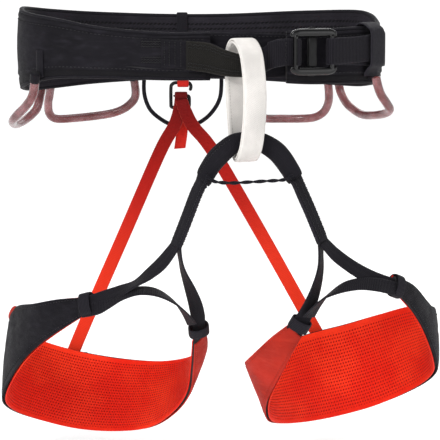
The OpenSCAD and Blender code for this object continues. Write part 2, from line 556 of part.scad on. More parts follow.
// Elastic band round straps: centre, direction of the strap, half width across, half depth
module keeper(at, along, across, wide, deep, length) {
  t = unit(along);
  w = unit(across - t * (across * t));
  n = cross(t, w);
  ring = [for (a = [15:30:345])
    let (c = at + w * wide * signed_pow(cos(a)) + n * deep * signed_pow(sin(a))) [c - t * length / 2, c + t * length / 2]];
  color("#242428") band(smooth_ring(ring, 2), webbing(-0.5, 0.5), closed = true);
}
module left_outer_keeper() {
  keeper([-90, -79.6, -194.6], [-10, 4, -3], [0.1, 0.3, 1], 9.2, 6.2, 10);
}
module left_inner_keeper() {
  keeper([-0.6, -61, -218.4], [0.6, 8, -10], [-0.72, 0.1, -0.6], 8.2, 5.4, 10);
}
module right_outer_keeper() {
  keeper([158.6, -74.6, -180.6], [8, 7, -4], [0.1, 0.3, 1], 9, 6, 9);
}
module right_inner_keeper() {
  keeper([80.8, -81.6, -210.6], [-6, 4.4, -11], [0.74, 0.2, -0.62], 8.2, 5.4, 10);
}
// Shallow pockets on the back of the pads; the risers' lower ends sit inside with room to shift
module riser_pocket(at, slope, face_y, lean) {
  c = cos(slope);
  s = sin(slope);
  rows = [[-15, 0], [-12.8, 0.5], [-11.6, 8.6], [0, 9.4], [11.6, 8.6], [12.8, 0.5], [15, 0]];
  color("#1d1c1f") band([for (r = rows) let (y = face_y + r[1])
    [[at[0] + c * r[0] - s * 7, y + lean, at[1] + s * r[0] + c * 7],
      [at[0] + c * r[0] + s * 7, y, at[1] + s * r[0] - c * 7]]], webbing(-0.6, 0.6));
}
module left_riser_pocket() {
  riser_pocket([-113, -272], 0, 81.6, 0);
}
module right_riser_pocket() {
  riser_pocket([108.6, -258.5], 20, 78.8, 0);
}

belt_shell();
belt_foam();
belt_mesh();
belt_top_piping();
belt_lower_piping();
belt_tongue();
belt_rear_label_tab();
tie_in_strap();
tie_in_wear_sleeve();
buckle_anchor_strap();
buckle_frame();
buckle_slider();
waist_strap();
belt_keeper();
gear_patches();
gear_tube_front_left();
gear_core_front_left();
gear_tube_rear_left();
gear_core_rear_left();
gear_tube_rear_right();
gear_core_rear_right();
gear_tube_front_right();
gear_core_front_right();
haul_loop();
rear_hook_tab();
rear_hook();
riser_top_wrap();
riser_tail();
riser_left();
riser_right();
belay_loop_outer();
belay_loop_inner();
bridge_sleeve();
bridge_webbing();
bridge_cord();
left_leg_foam();
left_leg_outer_shell();
left_leg_thigh_panel();
left_leg_mesh();
left_yoke();
left_outer_strand();
left_inner_strand();
left_cross_strap();
left_outer_keeper();
left_inner_keeper();
left_riser_pocket();
right_leg_foam();
right_leg_outer_shell();
right_leg_thigh_panel();
right_leg_mesh();
right_yoke();
right_outer_strand();
right_inner_strand();
right_cross_strap();
right_outer_keeper();
right_inner_keeper();
right_riser_pocket();
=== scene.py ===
"""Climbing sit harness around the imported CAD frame: sewn pads, webbing, tubes and metal, each its own piece."""

import json
import math

import bmesh
import bpy
import numpy as np
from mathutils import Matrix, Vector, noise

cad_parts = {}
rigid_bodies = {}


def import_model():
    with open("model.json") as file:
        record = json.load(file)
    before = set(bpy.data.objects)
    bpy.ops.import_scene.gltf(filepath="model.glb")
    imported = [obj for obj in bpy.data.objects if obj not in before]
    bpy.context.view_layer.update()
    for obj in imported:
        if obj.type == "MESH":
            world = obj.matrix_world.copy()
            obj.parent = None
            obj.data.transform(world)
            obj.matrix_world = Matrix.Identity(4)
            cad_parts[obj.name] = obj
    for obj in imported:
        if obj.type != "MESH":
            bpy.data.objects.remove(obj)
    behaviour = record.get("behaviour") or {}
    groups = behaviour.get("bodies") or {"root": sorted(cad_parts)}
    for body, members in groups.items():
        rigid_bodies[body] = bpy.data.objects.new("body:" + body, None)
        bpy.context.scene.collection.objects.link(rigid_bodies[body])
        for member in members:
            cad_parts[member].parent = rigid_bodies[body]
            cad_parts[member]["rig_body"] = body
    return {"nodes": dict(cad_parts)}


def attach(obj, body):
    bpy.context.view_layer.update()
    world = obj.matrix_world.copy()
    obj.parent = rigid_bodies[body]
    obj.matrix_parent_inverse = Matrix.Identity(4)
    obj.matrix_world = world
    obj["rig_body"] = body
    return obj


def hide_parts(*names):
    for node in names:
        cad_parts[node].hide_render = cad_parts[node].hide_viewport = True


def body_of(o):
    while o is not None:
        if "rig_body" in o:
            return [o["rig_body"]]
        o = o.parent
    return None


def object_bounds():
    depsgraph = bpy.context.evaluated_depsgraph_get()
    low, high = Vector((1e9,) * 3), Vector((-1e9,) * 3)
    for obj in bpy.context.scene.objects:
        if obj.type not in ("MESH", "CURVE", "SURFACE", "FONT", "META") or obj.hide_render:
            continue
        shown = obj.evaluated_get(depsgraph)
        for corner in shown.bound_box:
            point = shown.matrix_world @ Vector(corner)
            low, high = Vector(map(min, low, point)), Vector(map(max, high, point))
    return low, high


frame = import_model()
cad_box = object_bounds()
MM = 0.001
TAU = 2 * math.pi

# ---------------------------------------------------------------- camera
AIM, DISTANCE, TILT, LENS = Vector((16.7, 0, -136)) * MM, 1.8, math.radians(7), 175.9
camera_data = bpy.data.cameras.new("camera")
camera_data.sensor_width = 36
camera_data.lens = LENS
camera = bpy.data.objects.new("camera", camera_data)
bpy.context.scene.collection.objects.link(camera)
camera.location = AIM + Vector((0, -DISTANCE * math.cos(TILT), DISTANCE * math.sin(TILT)))
camera.rotation_euler = (AIM - camera.location).to_track_quat("-Z", "Y").to_euler()
bpy.context.scene.camera = camera


# ---------------------------------------------------------------- curves, all in millimetres
def smooth(points, n, ring=False):
    """Catmull-Rom line through points, or round a ring of them, n steps between neighbours."""
    P = np.array(points, float)
    m = len(P)
    out = []
    for i in range(m if ring else m - 1):
        a, b, c, d = (P[j % m if ring else min(max(j, 0), m - 1)] for j in range(i - 1, i + 3))
        for t in np.arange(n) / n:
            out.append(0.5 * (2 * b + (c - a) * t + (2 * a - 5 * b + 4 * c - d) * t * t
                              + (3 * b - a - 3 * c + d) * t ** 3))
    return np.array(out if ring else out + [P[-1]])


def unit(v):
    v = np.asarray(v, float)
    return v / np.maximum(np.linalg.norm(v, axis=-1, keepdims=True), 1e-9)


def from_mid(rows):
    """Stations from rows of a centre and a half width, three numbers each."""
    R = np.array(rows, float).reshape(-1, 2, 3)
    return np.stack([R[:, 0] + R[:, 1], R[:, 0] - R[:, 1]], 1)


def spow(v, power):
    return np.sign(v) * np.abs(v) ** power


class Band:
    """A strip: stations of top edge and lower edge, with outward normals."""

    def __init__(self, stations, closed=False):
        S = np.array(stations, float)
        self.closed = closed
        self.B = S[:, 1]
        self.W = S[:, 0] - S[:, 1]
        mid = (S[:, 0] + S[:, 1]) / 2
        if closed:
            T = np.roll(mid, -1, 0) - np.roll(mid, 1, 0)
        else:
            E = np.vstack([mid[:1], mid, mid[-1:]])
            T = E[2:] - E[:-2]
        self.T = unit(T)
        self.N = unit(np.cross(self.T, self.W))
        steps = np.linalg.norm(np.diff(mid, axis=0), axis=1)
        self.L = np.concatenate([[0], np.cumsum(steps)])
        self.round = self.L[-1] + (np.linalg.norm(mid[0] - mid[-1]) if closed else 0)
        self.mid = mid
        self.wide = np.linalg.norm(self.W, axis=1)

    def rings(self, s, off):
        off = np.broadcast_to(off, (len(self.B), len(s)))
        return self.B[:, None] + self.W[:, None] * s[None, :, None] + self.N[:, None] * off[..., None]

    def at(self, along, s, off):
        """Point, normal and direction at a length along the strip."""
        pick = [[np.interp(along, self.L, field[:, k]) for k in range(3)]
                for field in (self.B, self.W, self.N, self.T)]
        B, W, N, T = (np.array(p) for p in pick)
        return B + W * s + unit(N) * off, unit(N), unit(T)

    def near(self, point):
        """Length along and share across of the closest place to a point."""
        p = np.array(point, float)
        i = int(np.argmin(np.linalg.norm(self.mid - p, axis=1)))
        s = float(np.dot(p - self.B[i], self.W[i]) / np.dot(self.W[i], self.W[i]))
        return float(self.L[i]), s


def flat_section(lo, hi, k=9, power=9.0):
    """Closed flat section with rounded edges: low side rising, high side falling, one point at each edge."""
    t = np.linspace(0, 1, k + 1)
    s = 0.5 - 0.5 * np.cos(math.pi * t)
    s = 0.5 + 0.5 * spow(2 * s - 1, 0.8)
    bulge = (hi - lo) / 2 * np.maximum(0, 1 - np.abs(2 * s - 1) ** power) ** (1 / 2.4)
    middle = (hi + lo) / 2
    share = np.concatenate([s, s[-2:0:-1]])
    off = np.concatenate([middle - bulge, (middle + bulge)[-2:0:-1]])
    return share, off


# ---------------------------------------------------------------- meshes
def mesh_object(name, points, faces, face_uv=None, across=None):
    mesh = bpy.data.meshes.new(name)
    mesh.from_pydata([tuple(p) for p in np.asarray(points) * MM], [], faces)
    if face_uv is not None:
        layer = mesh.uv_layers.new(name="cloth")
        flat = np.array([c for f in face_uv for c in f], np.float32)
        layer.data.foreach_set("uv", flat.ravel())
    if across is not None:
        field = mesh.attributes.new("across", "FLOAT", "POINT")
        field.data.foreach_set("value", np.asarray(across, np.float32).ravel())
    mesh.update()
    mesh.polygons.foreach_set("use_smooth", [True] * len(mesh.polygons))
    obj = bpy.data.objects.new(name, mesh)
    bpy.context.scene.collection.objects.link(obj)
    return obj


def loft_data(rings, s, wide, along, closed=False):
    """Points, faces, UVs and shares across of a skin over rings; UVs are millimetres across and along."""
    R = np.asarray(rings, float)
    n, m = R.shape[:2]
    faces, uvs = [], []
    U = np.asarray(s) * wide
    for i in range(n if closed else n - 1):
        p, q = i, (i + 1) % n
        va, vb = along[i], along[i + 1] if i + 1 < len(along) else along[-1]
        for j in range(m):
            k = (j + 1) % m
            faces.append((p * m + j, p * m + k, q * m + k, q * m + j))
            uvs.append([(U[j], va), (U[k], va), (U[k], vb), (U[j], vb)])
    if not closed:
        half = m // 2
        for base, turn, v in ((0, True, along[0]), ((n - 1) * m, False, along[-1])):
            for j in range(half):
                loop = [j, j + 1, (m - j - 1) % m, (m - j) % m]
                loop = list(dict.fromkeys(loop))
                if len(loop) < 3:
                    continue
                if turn:
                    loop = loop[::-1]
                faces.append(tuple(base + k for k in loop))
                uvs.append([(U[k], v) for k in loop])
    return R.reshape(-1, 3), faces, uvs, np.tile(np.asarray(s, float), n)


def loft(name, *skin):
    return mesh_object(name, *loft_data(*skin))


def tidy_normals(obj):
    mesh = bmesh.new()
    mesh.from_mesh(obj.data)
    bmesh.ops.recalc_face_normals(mesh, faces=mesh.faces)
    mesh.to_mesh(obj.data)
    mesh.free()
    return obj


def finish_piece(obj, material, slot, nodes, body=None):
    """Finish, body and the CAD nodes that the piece stands for; the slot argument is not used."""
    obj.data.materials.append(material)
    nodes = [nodes] if isinstance(nodes, str) else list(nodes)
    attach(obj, body or body_of(frame["nodes"][nodes[0]])[0])
    if nodes and body is None:
        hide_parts(*nodes)
    return obj


def strip(name, band, lo, hi, k=9, power=9.0):
    """Flat webbing with rounded edges between two offsets."""
    s, off = flat_section(lo, hi, k, power)
    along = np.append(band.L, band.round) if band.closed else band.L
    return loft(name, band.rings(s, off), s, float(np.mean(band.wide)), along, band.closed)


def side_vectors(P):
    """Two steady directions square to a path, at each of its points."""
    E = np.vstack([P[:1], P, P[-1:]])
    T = unit(E[2:] - E[:-2])
    side = np.cross(T[0], [0.13, 0.31, 0.94])
    sides = []
    for t in T:
        side = unit(side - t * np.dot(side, t))
        sides.append(side)
    sides = np.array(sides)
    return sides, np.cross(T, sides)


def rod(name, path, r, look, node, sides=16, taper=None, body=None):
    """Round piece along a path; taper is the length over which each end rounds off."""
    P = np.asarray(path, float)
    X, Y = side_vectors(P)
    R = np.full(len(P), float(r))
    ang = np.arange(sides) * TAU / sides
    L = np.concatenate([[0], np.cumsum(np.linalg.norm(np.diff(P, axis=0), axis=1))])
    if taper:
        ends = np.minimum(L, L[-1] - L)
        R = R * np.sqrt(np.clip(1 - (1 - np.clip(ends / taper, 0, 1)) ** 2, 0.08, 1))
    rings = P[:, None] + R[:, None, None] * (np.cos(ang)[None, :, None] * X[:, None]
                                             + np.sin(ang)[None, :, None] * Y[:, None])
    obj = loft(name, rings, np.linspace(0, 1, sides, endpoint=False), TAU * float(np.mean(R)), L)
    return finish_piece(tidy_normals(obj), *look, node, body)


def sewn(name, band, lo, hi, look, node, k, power=9.0):
    """Strip finished as a node's own piece; look is its material and slot."""
    return finish_piece(tidy_normals(strip(name, band, lo, hi, k, power)), *look, node)


def rod_faces(rows, sides, base=0):
    """Faces round a run of rings of points, with both ends closed."""
    faces = []
    for i in range(rows - 1):
        for k in range(sides):
            p, q = base + i * sides + k, base + i * sides + (k + 1) % sides
            faces.append((p, q, q + sides, p + sides))
    last = base + (rows - 1) * sides
    return faces + [tuple(range(base, base + sides)), tuple(range(last + sides - 1, last - 1, -1))]


class Thread:
    """Sewing stitches gathered into one mesh: short humped lengths of thread."""

    def __init__(self):
        self.points, self.faces = [], []

    def stitch(self, a, b, normal, r=0.3, lift=0.35):
        a, b, n = (np.asarray(v, float) for v in (a, b, normal))
        t = unit(b - a)
        side = unit(np.cross(t, n))
        base = len(self.points)
        for f, rr in ((0, 0.35), (0.22, 0.95), (0.78, 0.95), (1, 0.35)):
            c = a + (b - a) * f + n * lift * math.sin(math.pi * f)
            for k in range(6):
                g = TAU * k / 6
                self.points.append(c + rr * r * (math.cos(g) * side + math.sin(g) * n))
        self.faces += rod_faces(4, 6, base)

    def seam(self, band, start, end, off, pitch=2.6, fill=0.7, zig=0.0, r=0.3, crown=None):
        """A row of stitches on a band from (along, across) to (along, across)."""
        (la, sa), (lb, sb) = start, end
        wide = float(np.mean(band.wide))
        length = math.hypot(lb - la, (sb - sa) * wide)
        count = max(1, int(round(length / pitch)))
        direction = np.array([(lb - la), (sb - sa) * wide]) / max(length, 1e-6)
        across = np.array([-direction[1], direction[0]])
        for k in range(count):
            ends = []
            for f, side in ((k / count, 1), ((k + fill) / count, -1)):
                shift = across * zig * side * (1 if k % 2 else -1) if zig else across * 0
                l = la + (lb - la) * f + shift[0]
                s = sa + (sb - sa) * f + shift[1] / wide
                o = off + (crown(l, s) if crown else 0)
                ends.append(band.at(l, s, o))
            self.stitch(ends[0][0], ends[1][0], ends[0][1], r)

    def piece(self, name, material, slot, body):
        obj = mesh_object(name, self.points, self.faces)
        return finish_piece(tidy_normals(obj), material, slot, [], body)


# ---------------------------------------------------------------- materials
class Graph:
    """One material's node tree."""

    def __init__(self, name, **fixed):
        self.material = bpy.data.materials.new(name)
        self.material.use_nodes = True
        self.tree = self.material.node_tree
        self.shader = self.tree.nodes["Principled BSDF"]
        for key, value in fixed.items():
            self.shader.inputs[key.replace("_", " ")].default_value = value

    def node(self, kind, inputs=(), **settings):
        n = self.tree.nodes.new(kind)
        for key, value in settings.items():
            setattr(n, key, value)
        for key, value in dict(inputs).items():
            self.put(n.inputs[key], value)
        return n

    def put(self, socket, value):
        if isinstance(value, bpy.types.NodeSocket):
            self.tree.links.new(value, socket)
        else:
            socket.default_value = value

    def math(self, operation, *values):
        return self.node("ShaderNodeMath", dict(enumerate(values)), operation=operation).outputs[0]

    def mul(self, a, b):
        return self.math("MULTIPLY", a, b)

    def add(self, a, b):
        return self.math("ADD", a, b)

    def uv(self):
        split = self.node("ShaderNodeSeparateXYZ", {0: self.node("ShaderNodeUVMap", uv_map="cloth").outputs[0]})
        return split.outputs[0], split.outputs[1]

    def across(self):
        return self.node("ShaderNodeAttribute", attribute_name="across").outputs["Fac"]

    def noise(self, scale, detail=2.0, stretch=(1, 1, 1)):
        place = self.node("ShaderNodeTexCoord").outputs["Object"]
        place = self.node("ShaderNodeVectorMath", {0: place, 1: stretch}, operation="MULTIPLY").outputs[0]
        inputs = {"Vector": place, "Scale": scale, "Detail": detail}
        return self.node("ShaderNodeTexNoise", inputs).outputs["Fac"]

    def ramp(self, value, lo, hi, out_lo=0.0, out_hi=1.0):
        n = self.node("ShaderNodeMapRange", {0: value, 1: lo, 2: hi, 3: out_lo, 4: out_hi},
                      interpolation_type="SMOOTHSTEP")
        return n.outputs[0]

    def blend(self, factor, a, b):
        n = self.node("ShaderNodeMix", data_type="RGBA")
        self.put(n.inputs[0], factor)
        for socket, value in ((n.inputs[6], a), (n.inputs[7], b)):
            self.put(socket, (*value, 1) if isinstance(value, tuple) else value)
        return n.outputs[2]

    def wave(self, value, period):
        """0 to 1 sine of a millimetre coordinate."""
        return self.math("MULTIPLY_ADD", self.math("SINE", self.mul(value, TAU / period)), 0.5, 0.5)

    def bump(self, height, distance, strength=1.0):
        links = self.shader.inputs["Normal"].links
        before = links[0].from_socket if links else None
        n = self.node("ShaderNodeBump", {"Height": height, "Distance": distance, "Strength": strength})
        if before is not None:
            self.put(n.inputs["Normal"], before)
        self.put(self.shader.inputs["Normal"], n.outputs[0])

    def color(self, value):
        self.put(self.shader.inputs["Base Color"], (*value, 1) if isinstance(value, tuple) else value)

    def rough(self, value):
        self.put(self.shader.inputs["Roughness"], value)

    def gloss(self, scale, detail, lo, hi):
        """Roughness that drifts from lo to hi with a noise."""
        self.rough(self.ramp(self.noise(scale, detail), 0.3, 0.7, lo, hi))

    def shade(self, base, amount, scale=35.0):
        """Base colour with slow patches of lighter and darker dye."""
        dark = tuple(c * (1 - amount) for c in base)
        light = tuple(min(1, c * (1 + amount)) for c in base)
        return self.blend(self.ramp(self.noise(scale, 4), 0.3, 0.7), dark, light)


def cloth(name, sheen, sheen_rough=0.5):
    return Graph(name, Sheen_Weight=sheen * 0.12, Sheen_Roughness=sheen_rough, Specular_IOR_Level=0.09)


def worn(g, color, light, start=0.84, grain=420.0, most=0.7):
    """Paler, fluffed edges where a strap rubs."""
    edge = g.math("ABSOLUTE", g.math("MULTIPLY_ADD", g.across(), 2.0, -1.0))
    mask = g.mul(g.ramp(edge, start, 1.0), g.ramp(g.noise(grain, 3), 0.35, 0.65))
    return g.blend(g.mul(mask, most), color, light)


def webbing(name, base, light, rib=1.25, chevron=2.6, rough=0.62, sheen=0.25, depth=0.00016):
    g = cloth(name, sheen, 0.45)
    u, v = g.uv()
    slant = g.add(v, g.math("PINGPONG", u, chevron))
    height = g.mul(g.wave(slant, rib), g.add(g.wave(u, 0.8), 0.6))
    fuzz = g.noise(1800, 2)
    g.color(worn(g, g.blend(g.mul(g.wave(slant, rib), 0.45), g.shade(base, 0.16), light), light))
    g.rough(g.ramp(fuzz, 0.2, 0.8, rough - 0.08, rough + 0.1))
    g.bump(height, depth)
    g.bump(fuzz, 0.00006)
    return g.material


def fabric(name, base, light, thread=0.85, rough=0.68, sheen=0.3, lower_dark=None):
    """Plain close-woven cloth with slow creases; lower_dark is where the lower edge darkens, and to what."""
    g = cloth(name, sheen)
    u, v = g.uv()
    weave = g.mul(g.wave(g.add(u, v), thread), g.wave(g.math("SUBTRACT", u, v), thread))
    color = g.shade(base, 0.2, 28)
    color = g.blend(g.mul(g.ramp(g.noise(90, 5, (1, 1, 3)), 0.45, 0.8), 0.5), color, light)
    if lower_dark:
        color = g.blend(g.ramp(g.across(), lower_dark[0], lower_dark[1], 1.0, 0.0), color, lower_dark[2])
    g.color(color)
    g.gloss(60, 3, rough - 0.08, rough + 0.08)
    g.bump(weave, 0.00008)
    g.bump(g.noise(140, 4, (1, 1, 2.4)), 0.0010, 0.6)
    return g.material


def perforated(name, base, light, hole, pitch_u, pitch_v, radius, depth, rough=0.6, slant=0.0):
    """Knitted spacer mesh: rows of small holes, each row shifted by half."""
    g = Graph(name, Sheen_Weight=0.02, Sheen_Roughness=0.5, Specular_IOR_Level=0.12)
    u, v = g.uv()
    v = g.add(v, g.mul(u, slant))
    row = g.math("DIVIDE", u, pitch_u)
    odd = g.math("MODULO", g.math("FLOOR", row), 2.0)
    column = g.add(g.math("DIVIDE", v, pitch_v), g.mul(odd, 0.5))
    du = g.mul(g.math("SUBTRACT", g.math("FRACT", row), 0.5), pitch_u)
    dv = g.mul(g.math("SUBTRACT", g.math("FRACT", column), 0.5), pitch_v * 0.72)
    away = g.math("SQRT", g.add(g.mul(du, du), g.mul(dv, dv)))
    edge = g.math("ABSOLUTE", g.math("MULTIPLY_ADD", g.across(), 2.0, -1.0))
    field = g.ramp(edge, 0.86, 0.92, 1.0, 0.0)
    mask = g.mul(g.ramp(away, radius * 0.55, radius * 1.2, 1.0, 0.0), field)
    color = g.blend(g.ramp(g.noise(22, 3), 0.35, 0.7), base, light)
    rib = g.wave(g.add(u, v), 0.9)
    color = g.blend(g.mul(rib, 0.12), color, hole)
    g.color(g.blend(mask, color, hole))
    g.gloss(300, 2, rough - 0.06, rough + 0.08)
    g.bump(g.math("SUBTRACT", 1.0, g.mul(g.ramp(away, 0.0, radius * 1.7, 1.0, 0.0), field)), depth)
    g.bump(rib, 0.00005)
    return g.material


def ribbed(name, base, light, rib, rough=0.6, sheen=0.2):
    """Woven elastic: strong ribs along the band, fine picks across."""
    g = cloth(name, sheen)
    u, v = g.uv()
    cord = g.wave(u, rib)
    g.color(worn(g, g.blend(g.mul(cord, 0.5), g.shade(base, 0.15), light), light, 0.9))
    g.gloss(500, 2, rough - 0.06, rough + 0.08)
    g.bump(g.add(cord, g.mul(g.wave(v, 0.9), 0.35)), 0.0002)
    return g.material


def metal(name, base, rough, coat, wear):
    """Dark anodised or coated metal with paler scuffs."""
    g = Graph(name, Metallic=0.0, Coat_Weight=coat, Coat_Roughness=0.06, Specular_IOR_Level=0.25)
    scuff = g.mul(g.ramp(g.noise(700, 4), 0.66, 0.74), g.ramp(g.noise(60, 2), 0.45, 0.7))
    g.color(g.blend(g.mul(scuff, 0.5), g.shade(base, 0.2, 80), wear))
    g.rough(g.ramp(g.noise(240, 4), 0.3, 0.75, rough, rough + 0.14))
    g.bump(g.noise(900, 2), 0.00002)
    return g.material


def thread(name, base, light, rough=0.45):
    g = Graph(name, Sheen_Weight=0.02, Sheen_Roughness=0.4, Specular_IOR_Level=0.2)
    twist = g.wave(g.mul(g.noise(2600, 1), 8.0), 1.0)
    g.color(g.blend(twist, base, light))
    g.rough(rough)
    g.bump(twist, 0.00008)
    return g.material


SOFTSHELL = fabric("softshell", (0.0073, 0.0065, 0.0092), (0.0211, 0.019, 0.0257),
                   lower_dark=(0.10, 0.15, (0.006, 0.0055, 0.007)))
WING = fabric("wing_fabric", (0.0069, 0.0061, 0.0089), (0.0195, 0.0175, 0.024))
TONGUE = fabric("tongue_fabric", (0.006, 0.0053, 0.0078), (0.0156, 0.014, 0.0188))
DARK_MESH = perforated("dark_mesh", (0.0085, 0.0074, 0.0106), (0.018, 0.0156, 0.0215), (0.003, 0.003, 0.004),
                       4.2, 3.6, 0.95, 0.0011, 0.7, 0.9)
RED_MESH = perforated("red_mesh", (0.74, 0.014, 0.0025), (0.90, 0.040, 0.009), (0.30, 0.003, 0.001),
                      1.8, 2.5, 0.50, 0.0006)
RED_FABRIC = fabric("red_fabric", (0.40, 0.022, 0.012), (0.52, 0.04, 0.022), 0.9, 0.7, 0.15)
FOAM = fabric("foam", (0.03, 0.029, 0.031), (0.05, 0.05, 0.052), 0.7, 0.9, 0.0)
BINDING = webbing("binding", (0.005, 0.0045, 0.0065), (0.021, 0.019, 0.0255), 1.0, 1.2, 0.6, 0.3, 0.0001)
WEBBING = webbing("black_webbing", (0.0063, 0.0056, 0.0078), (0.026, 0.0236, 0.0312))
FINE_WEBBING = webbing("fine_webbing", (0.0055, 0.0049, 0.007), (0.0255, 0.023, 0.0311), 1.6, 0.5, 0.55, 0.3,
                       0.00022)
SLEEVE = webbing("sleeve_fabric", (0.0065, 0.0058, 0.0081), (0.021, 0.0189, 0.0259), 1.1, 1.4, 0.66, 0.35)
WEAR = webbing("wear_fabric", (0.0065, 0.0061, 0.0056), (0.03, 0.0276, 0.024), 1.5, 1.0, 0.5, 0.2, 0.0003)
ELASTIC = ribbed("charcoal_elastic", (0.01, 0.0091, 0.0123), (0.026, 0.0237, 0.0314), 1.6)
KEEPER = ribbed("keeper_elastic", (0.0075, 0.0067, 0.0097), (0.0252, 0.0228, 0.0306), 1.3)
WHITE = webbing("white_webbing", (0.71, 0.68, 0.65), (0.77, 0.745, 0.715), 1.4, 1.6, 0.62, 0.2, 0.00012)
BUCKLE = metal("buckle_metal", (0.0015, 0.0015, 0.0018), 0.14, 0.3, (0.01, 0.01, 0.011))
SLIDER = metal("slider_metal", (0.0015, 0.0015, 0.0018), 0.4, 0.0, (0.006, 0.006, 0.0065))
HOOK = metal("hook_metal", (0.005, 0.0048, 0.006), 0.4, 0.0, (0.03, 0.03, 0.033))
BLACK_CORD = webbing("black_cord", (0.0055, 0.0049, 0.0078), (0.024, 0.0223, 0.0309), 1.3, 1.1, 0.6, 0.3,
                     0.0002)
BLACK_THREAD = thread("black_thread", (0.0081, 0.00788, 0.00855), (0.03375, 0.03285, 0.0351))
WHITE_THREAD = thread("white_thread", (0.42, 0.40, 0.375), (0.62, 0.60, 0.57), 0.5)
RED_THREAD = thread("red_thread", (0.30, 0.012, 0.008), (0.5, 0.03, 0.015), 0.5)


def tape(name, paint):
    """Narrow elastic tape with cross ribs; paint(g, v, rows) gives its colour."""
    g = Graph(name, Sheen_Weight=0.02, Sheen_Roughness=0.5, Specular_IOR_Level=0.12)
    u, v = g.uv()
    rows = g.wave(v, 1.4)
    g.color(paint(g, v, rows))
    g.gloss(500, 2, 0.55, 0.7)
    g.bump(g.mul(rows, g.add(g.wave(u, 1.1), 0.5)), 0.00014)
    return g.material


def riser_red_painted_shade(g, v, rows):
    """Painted shade: deep red by the hook, where shade falls, and brighter down the tape's length."""
    # painted shade: the stretch nearest the hook is darkened, fading to the tape's own red lower down
    high = g.blend(g.ramp(v, 0, 78), (0.15, 0.002, 0.002), (0.44, 0.010, 0.006))
    color = g.blend(g.ramp(v, 70, 190), high, (0.76, 0.034, 0.010))
    color = g.blend(g.mul(rows, 0.14), color, (0.25, 0.004, 0.002))
    return worn(g, color, (0.9, 0.12, 0.07), 0.88, 500, 0.4)


def plain_red(base, light):
    return lambda g, v, rows: worn(g, g.blend(g.mul(rows, 0.2), g.shade(base, 0.15), light), light, 0.88)


# The riser tape's colour carries painted shade towards the hook.
RISER = tape("red_webbing", riser_red_painted_shade)
# A darker copy of the riser webbing: painted shade for the loop round the hook.
RISER_PAINTED_SHADE = tape("red_webbing_painted_shade", plain_red((0.10, 0.002, 0.002), (0.18, 0.005, 0.004)))
RISER_TAIL = tape("red_webbing_tail", plain_red((0.62, 0.018, 0.01), (0.78, 0.05, 0.03)))
HOOK_TAB = tape("hook_tab_webbing", plain_red((0.46, 0.012, 0.008), (0.62, 0.03, 0.02)))


def clear_tube():
    g = Graph("clear_tube", Transmission_Weight=0.86, IOR=1.42, Roughness=0.22, Coat_Weight=0.2,
              Coat_Roughness=0.12)
    g.color(g.blend(g.ramp(g.noise(120, 3), 0.3, 0.7), (0.36, 0.22, 0.23), (0.70, 0.58, 0.64)))
    g.bump(g.noise(260, 3), 0.00008)
    return g.material


def core_cord():
    g = Graph("coral_core", Sheen_Weight=0.1, Roughness=0.55)
    u, v = g.uv()
    braid = g.wave(g.add(v, g.math("PINGPONG", u, 1.6)), 1.5)
    g.color(g.blend(g.mul(braid, 0.35), g.shade((0.42, 0.06, 0.045), 0.3, 30), (0.52, 0.11, 0.085)))
    g.bump(braid, 0.00016)
    return g.material


CLEAR = clear_tube()
CORAL = core_cord()

# Looks: a material with the record's slot that it belongs to
BINDING_LOOK, PATCH_LOOK = (BINDING, "binding"), (WING, "softshell")
STRAP_LOOK, FINE_STRAP_LOOK = (WEBBING, "black_webbing"), (FINE_WEBBING, "black_webbing")
SEWING, BELAY_LOOK = (BLACK_THREAD, "black_webbing"), (WHITE, "white_webbing")
CORD_LOOK, CORE_LOOK, TUBE_LOOK = (BLACK_CORD, "black_cord"), (CORAL, "coral_core"), (CLEAR, "clear_tube")
RISER_LOOK, RED_PANEL_LOOK = (RISER, "red_webbing"), (RED_FABRIC, "red_fabric")

# ---------------------------------------------------------------- waistbelt
HALF_W, HALF_D, BELT_POWER, BELT_T = 147.0, 79.0, 0.833, 5.6
GAP, SKIN = 0.12, 1.0
BELT_FACE = BELT_T / 2 + GAP + SKIN
# Belt edges: (turn from the front, lower edge, top edge)
BELT_EDGES = [[0, -12, 21], [10, -12, 21], [30, -15.5, 22], [50, -16, 24], [72, -17, 25], [90, -19, 27],
              [105, -22, 33], [120, -24, 35.5], [150, -22.5, 34], [180, -19.5, 31], [210, -22.5, 33],
              [235, -26, 36], [255, -26.5, 38.5], [270, -24, 39], [290, -18, 35.5], [312, -12, 31.5],
              [332, -11, 25], [352, -12, 21]]
knots = smooth([[e[0] - 360, e[1], e[2]] for e in BELT_EDGES[-3:]] + BELT_EDGES
               + [[e[0] + 360, e[1], e[2]] for e in BELT_EDGES[:3]], 6)


def edge_low(a):
    return float(np.interp(a % 360, knots[:, 0], knots[:, 1]))


def edge_top(a):
    return float(np.interp(a % 360, knots[:, 0], knots[:, 2]))


def belt_xy(a):
    r = math.radians(a)
    return np.array([HALF_W * spow(math.sin(r), BELT_POWER), -HALF_D * spow(math.cos(r), BELT_POWER)])


def on_belt(a, z, out):
    p = belt_xy(a)
    d = unit(belt_xy(a + 1) - belt_xy(a - 1))
    return [p[0] + d[1] * out, p[1] - d[0] * out, z]


def belt_run(start, end, steps, top, low, out):
    rows = []
    for k in range(steps + 1):
        a = start + (end - start) * k / steps
        rows.append([on_belt(a, top[0] + (top[1] - top[0]) * k / steps, out),
                     on_belt(a, low[0] + (low[1] - low[0]) * k / steps, out)])
    return rows


def foam_half(t, s):
    return t / 2 * (0.3 + 0.7 * np.sin(np.pi * np.clip(s, 0, 1)) ** 0.6)


def pad_shares(k):
    t = np.linspace(0, 1, k + 1)
    return 0.5 + 0.5 * spow(2 * (0.5 - 0.5 * np.cos(math.pi * t)) - 1, 0.9)


def soft_noise(points, scale):
    return np.array([noise.fractal(Vector(p) * scale, 0.7, 2.1, 3) for p in points])


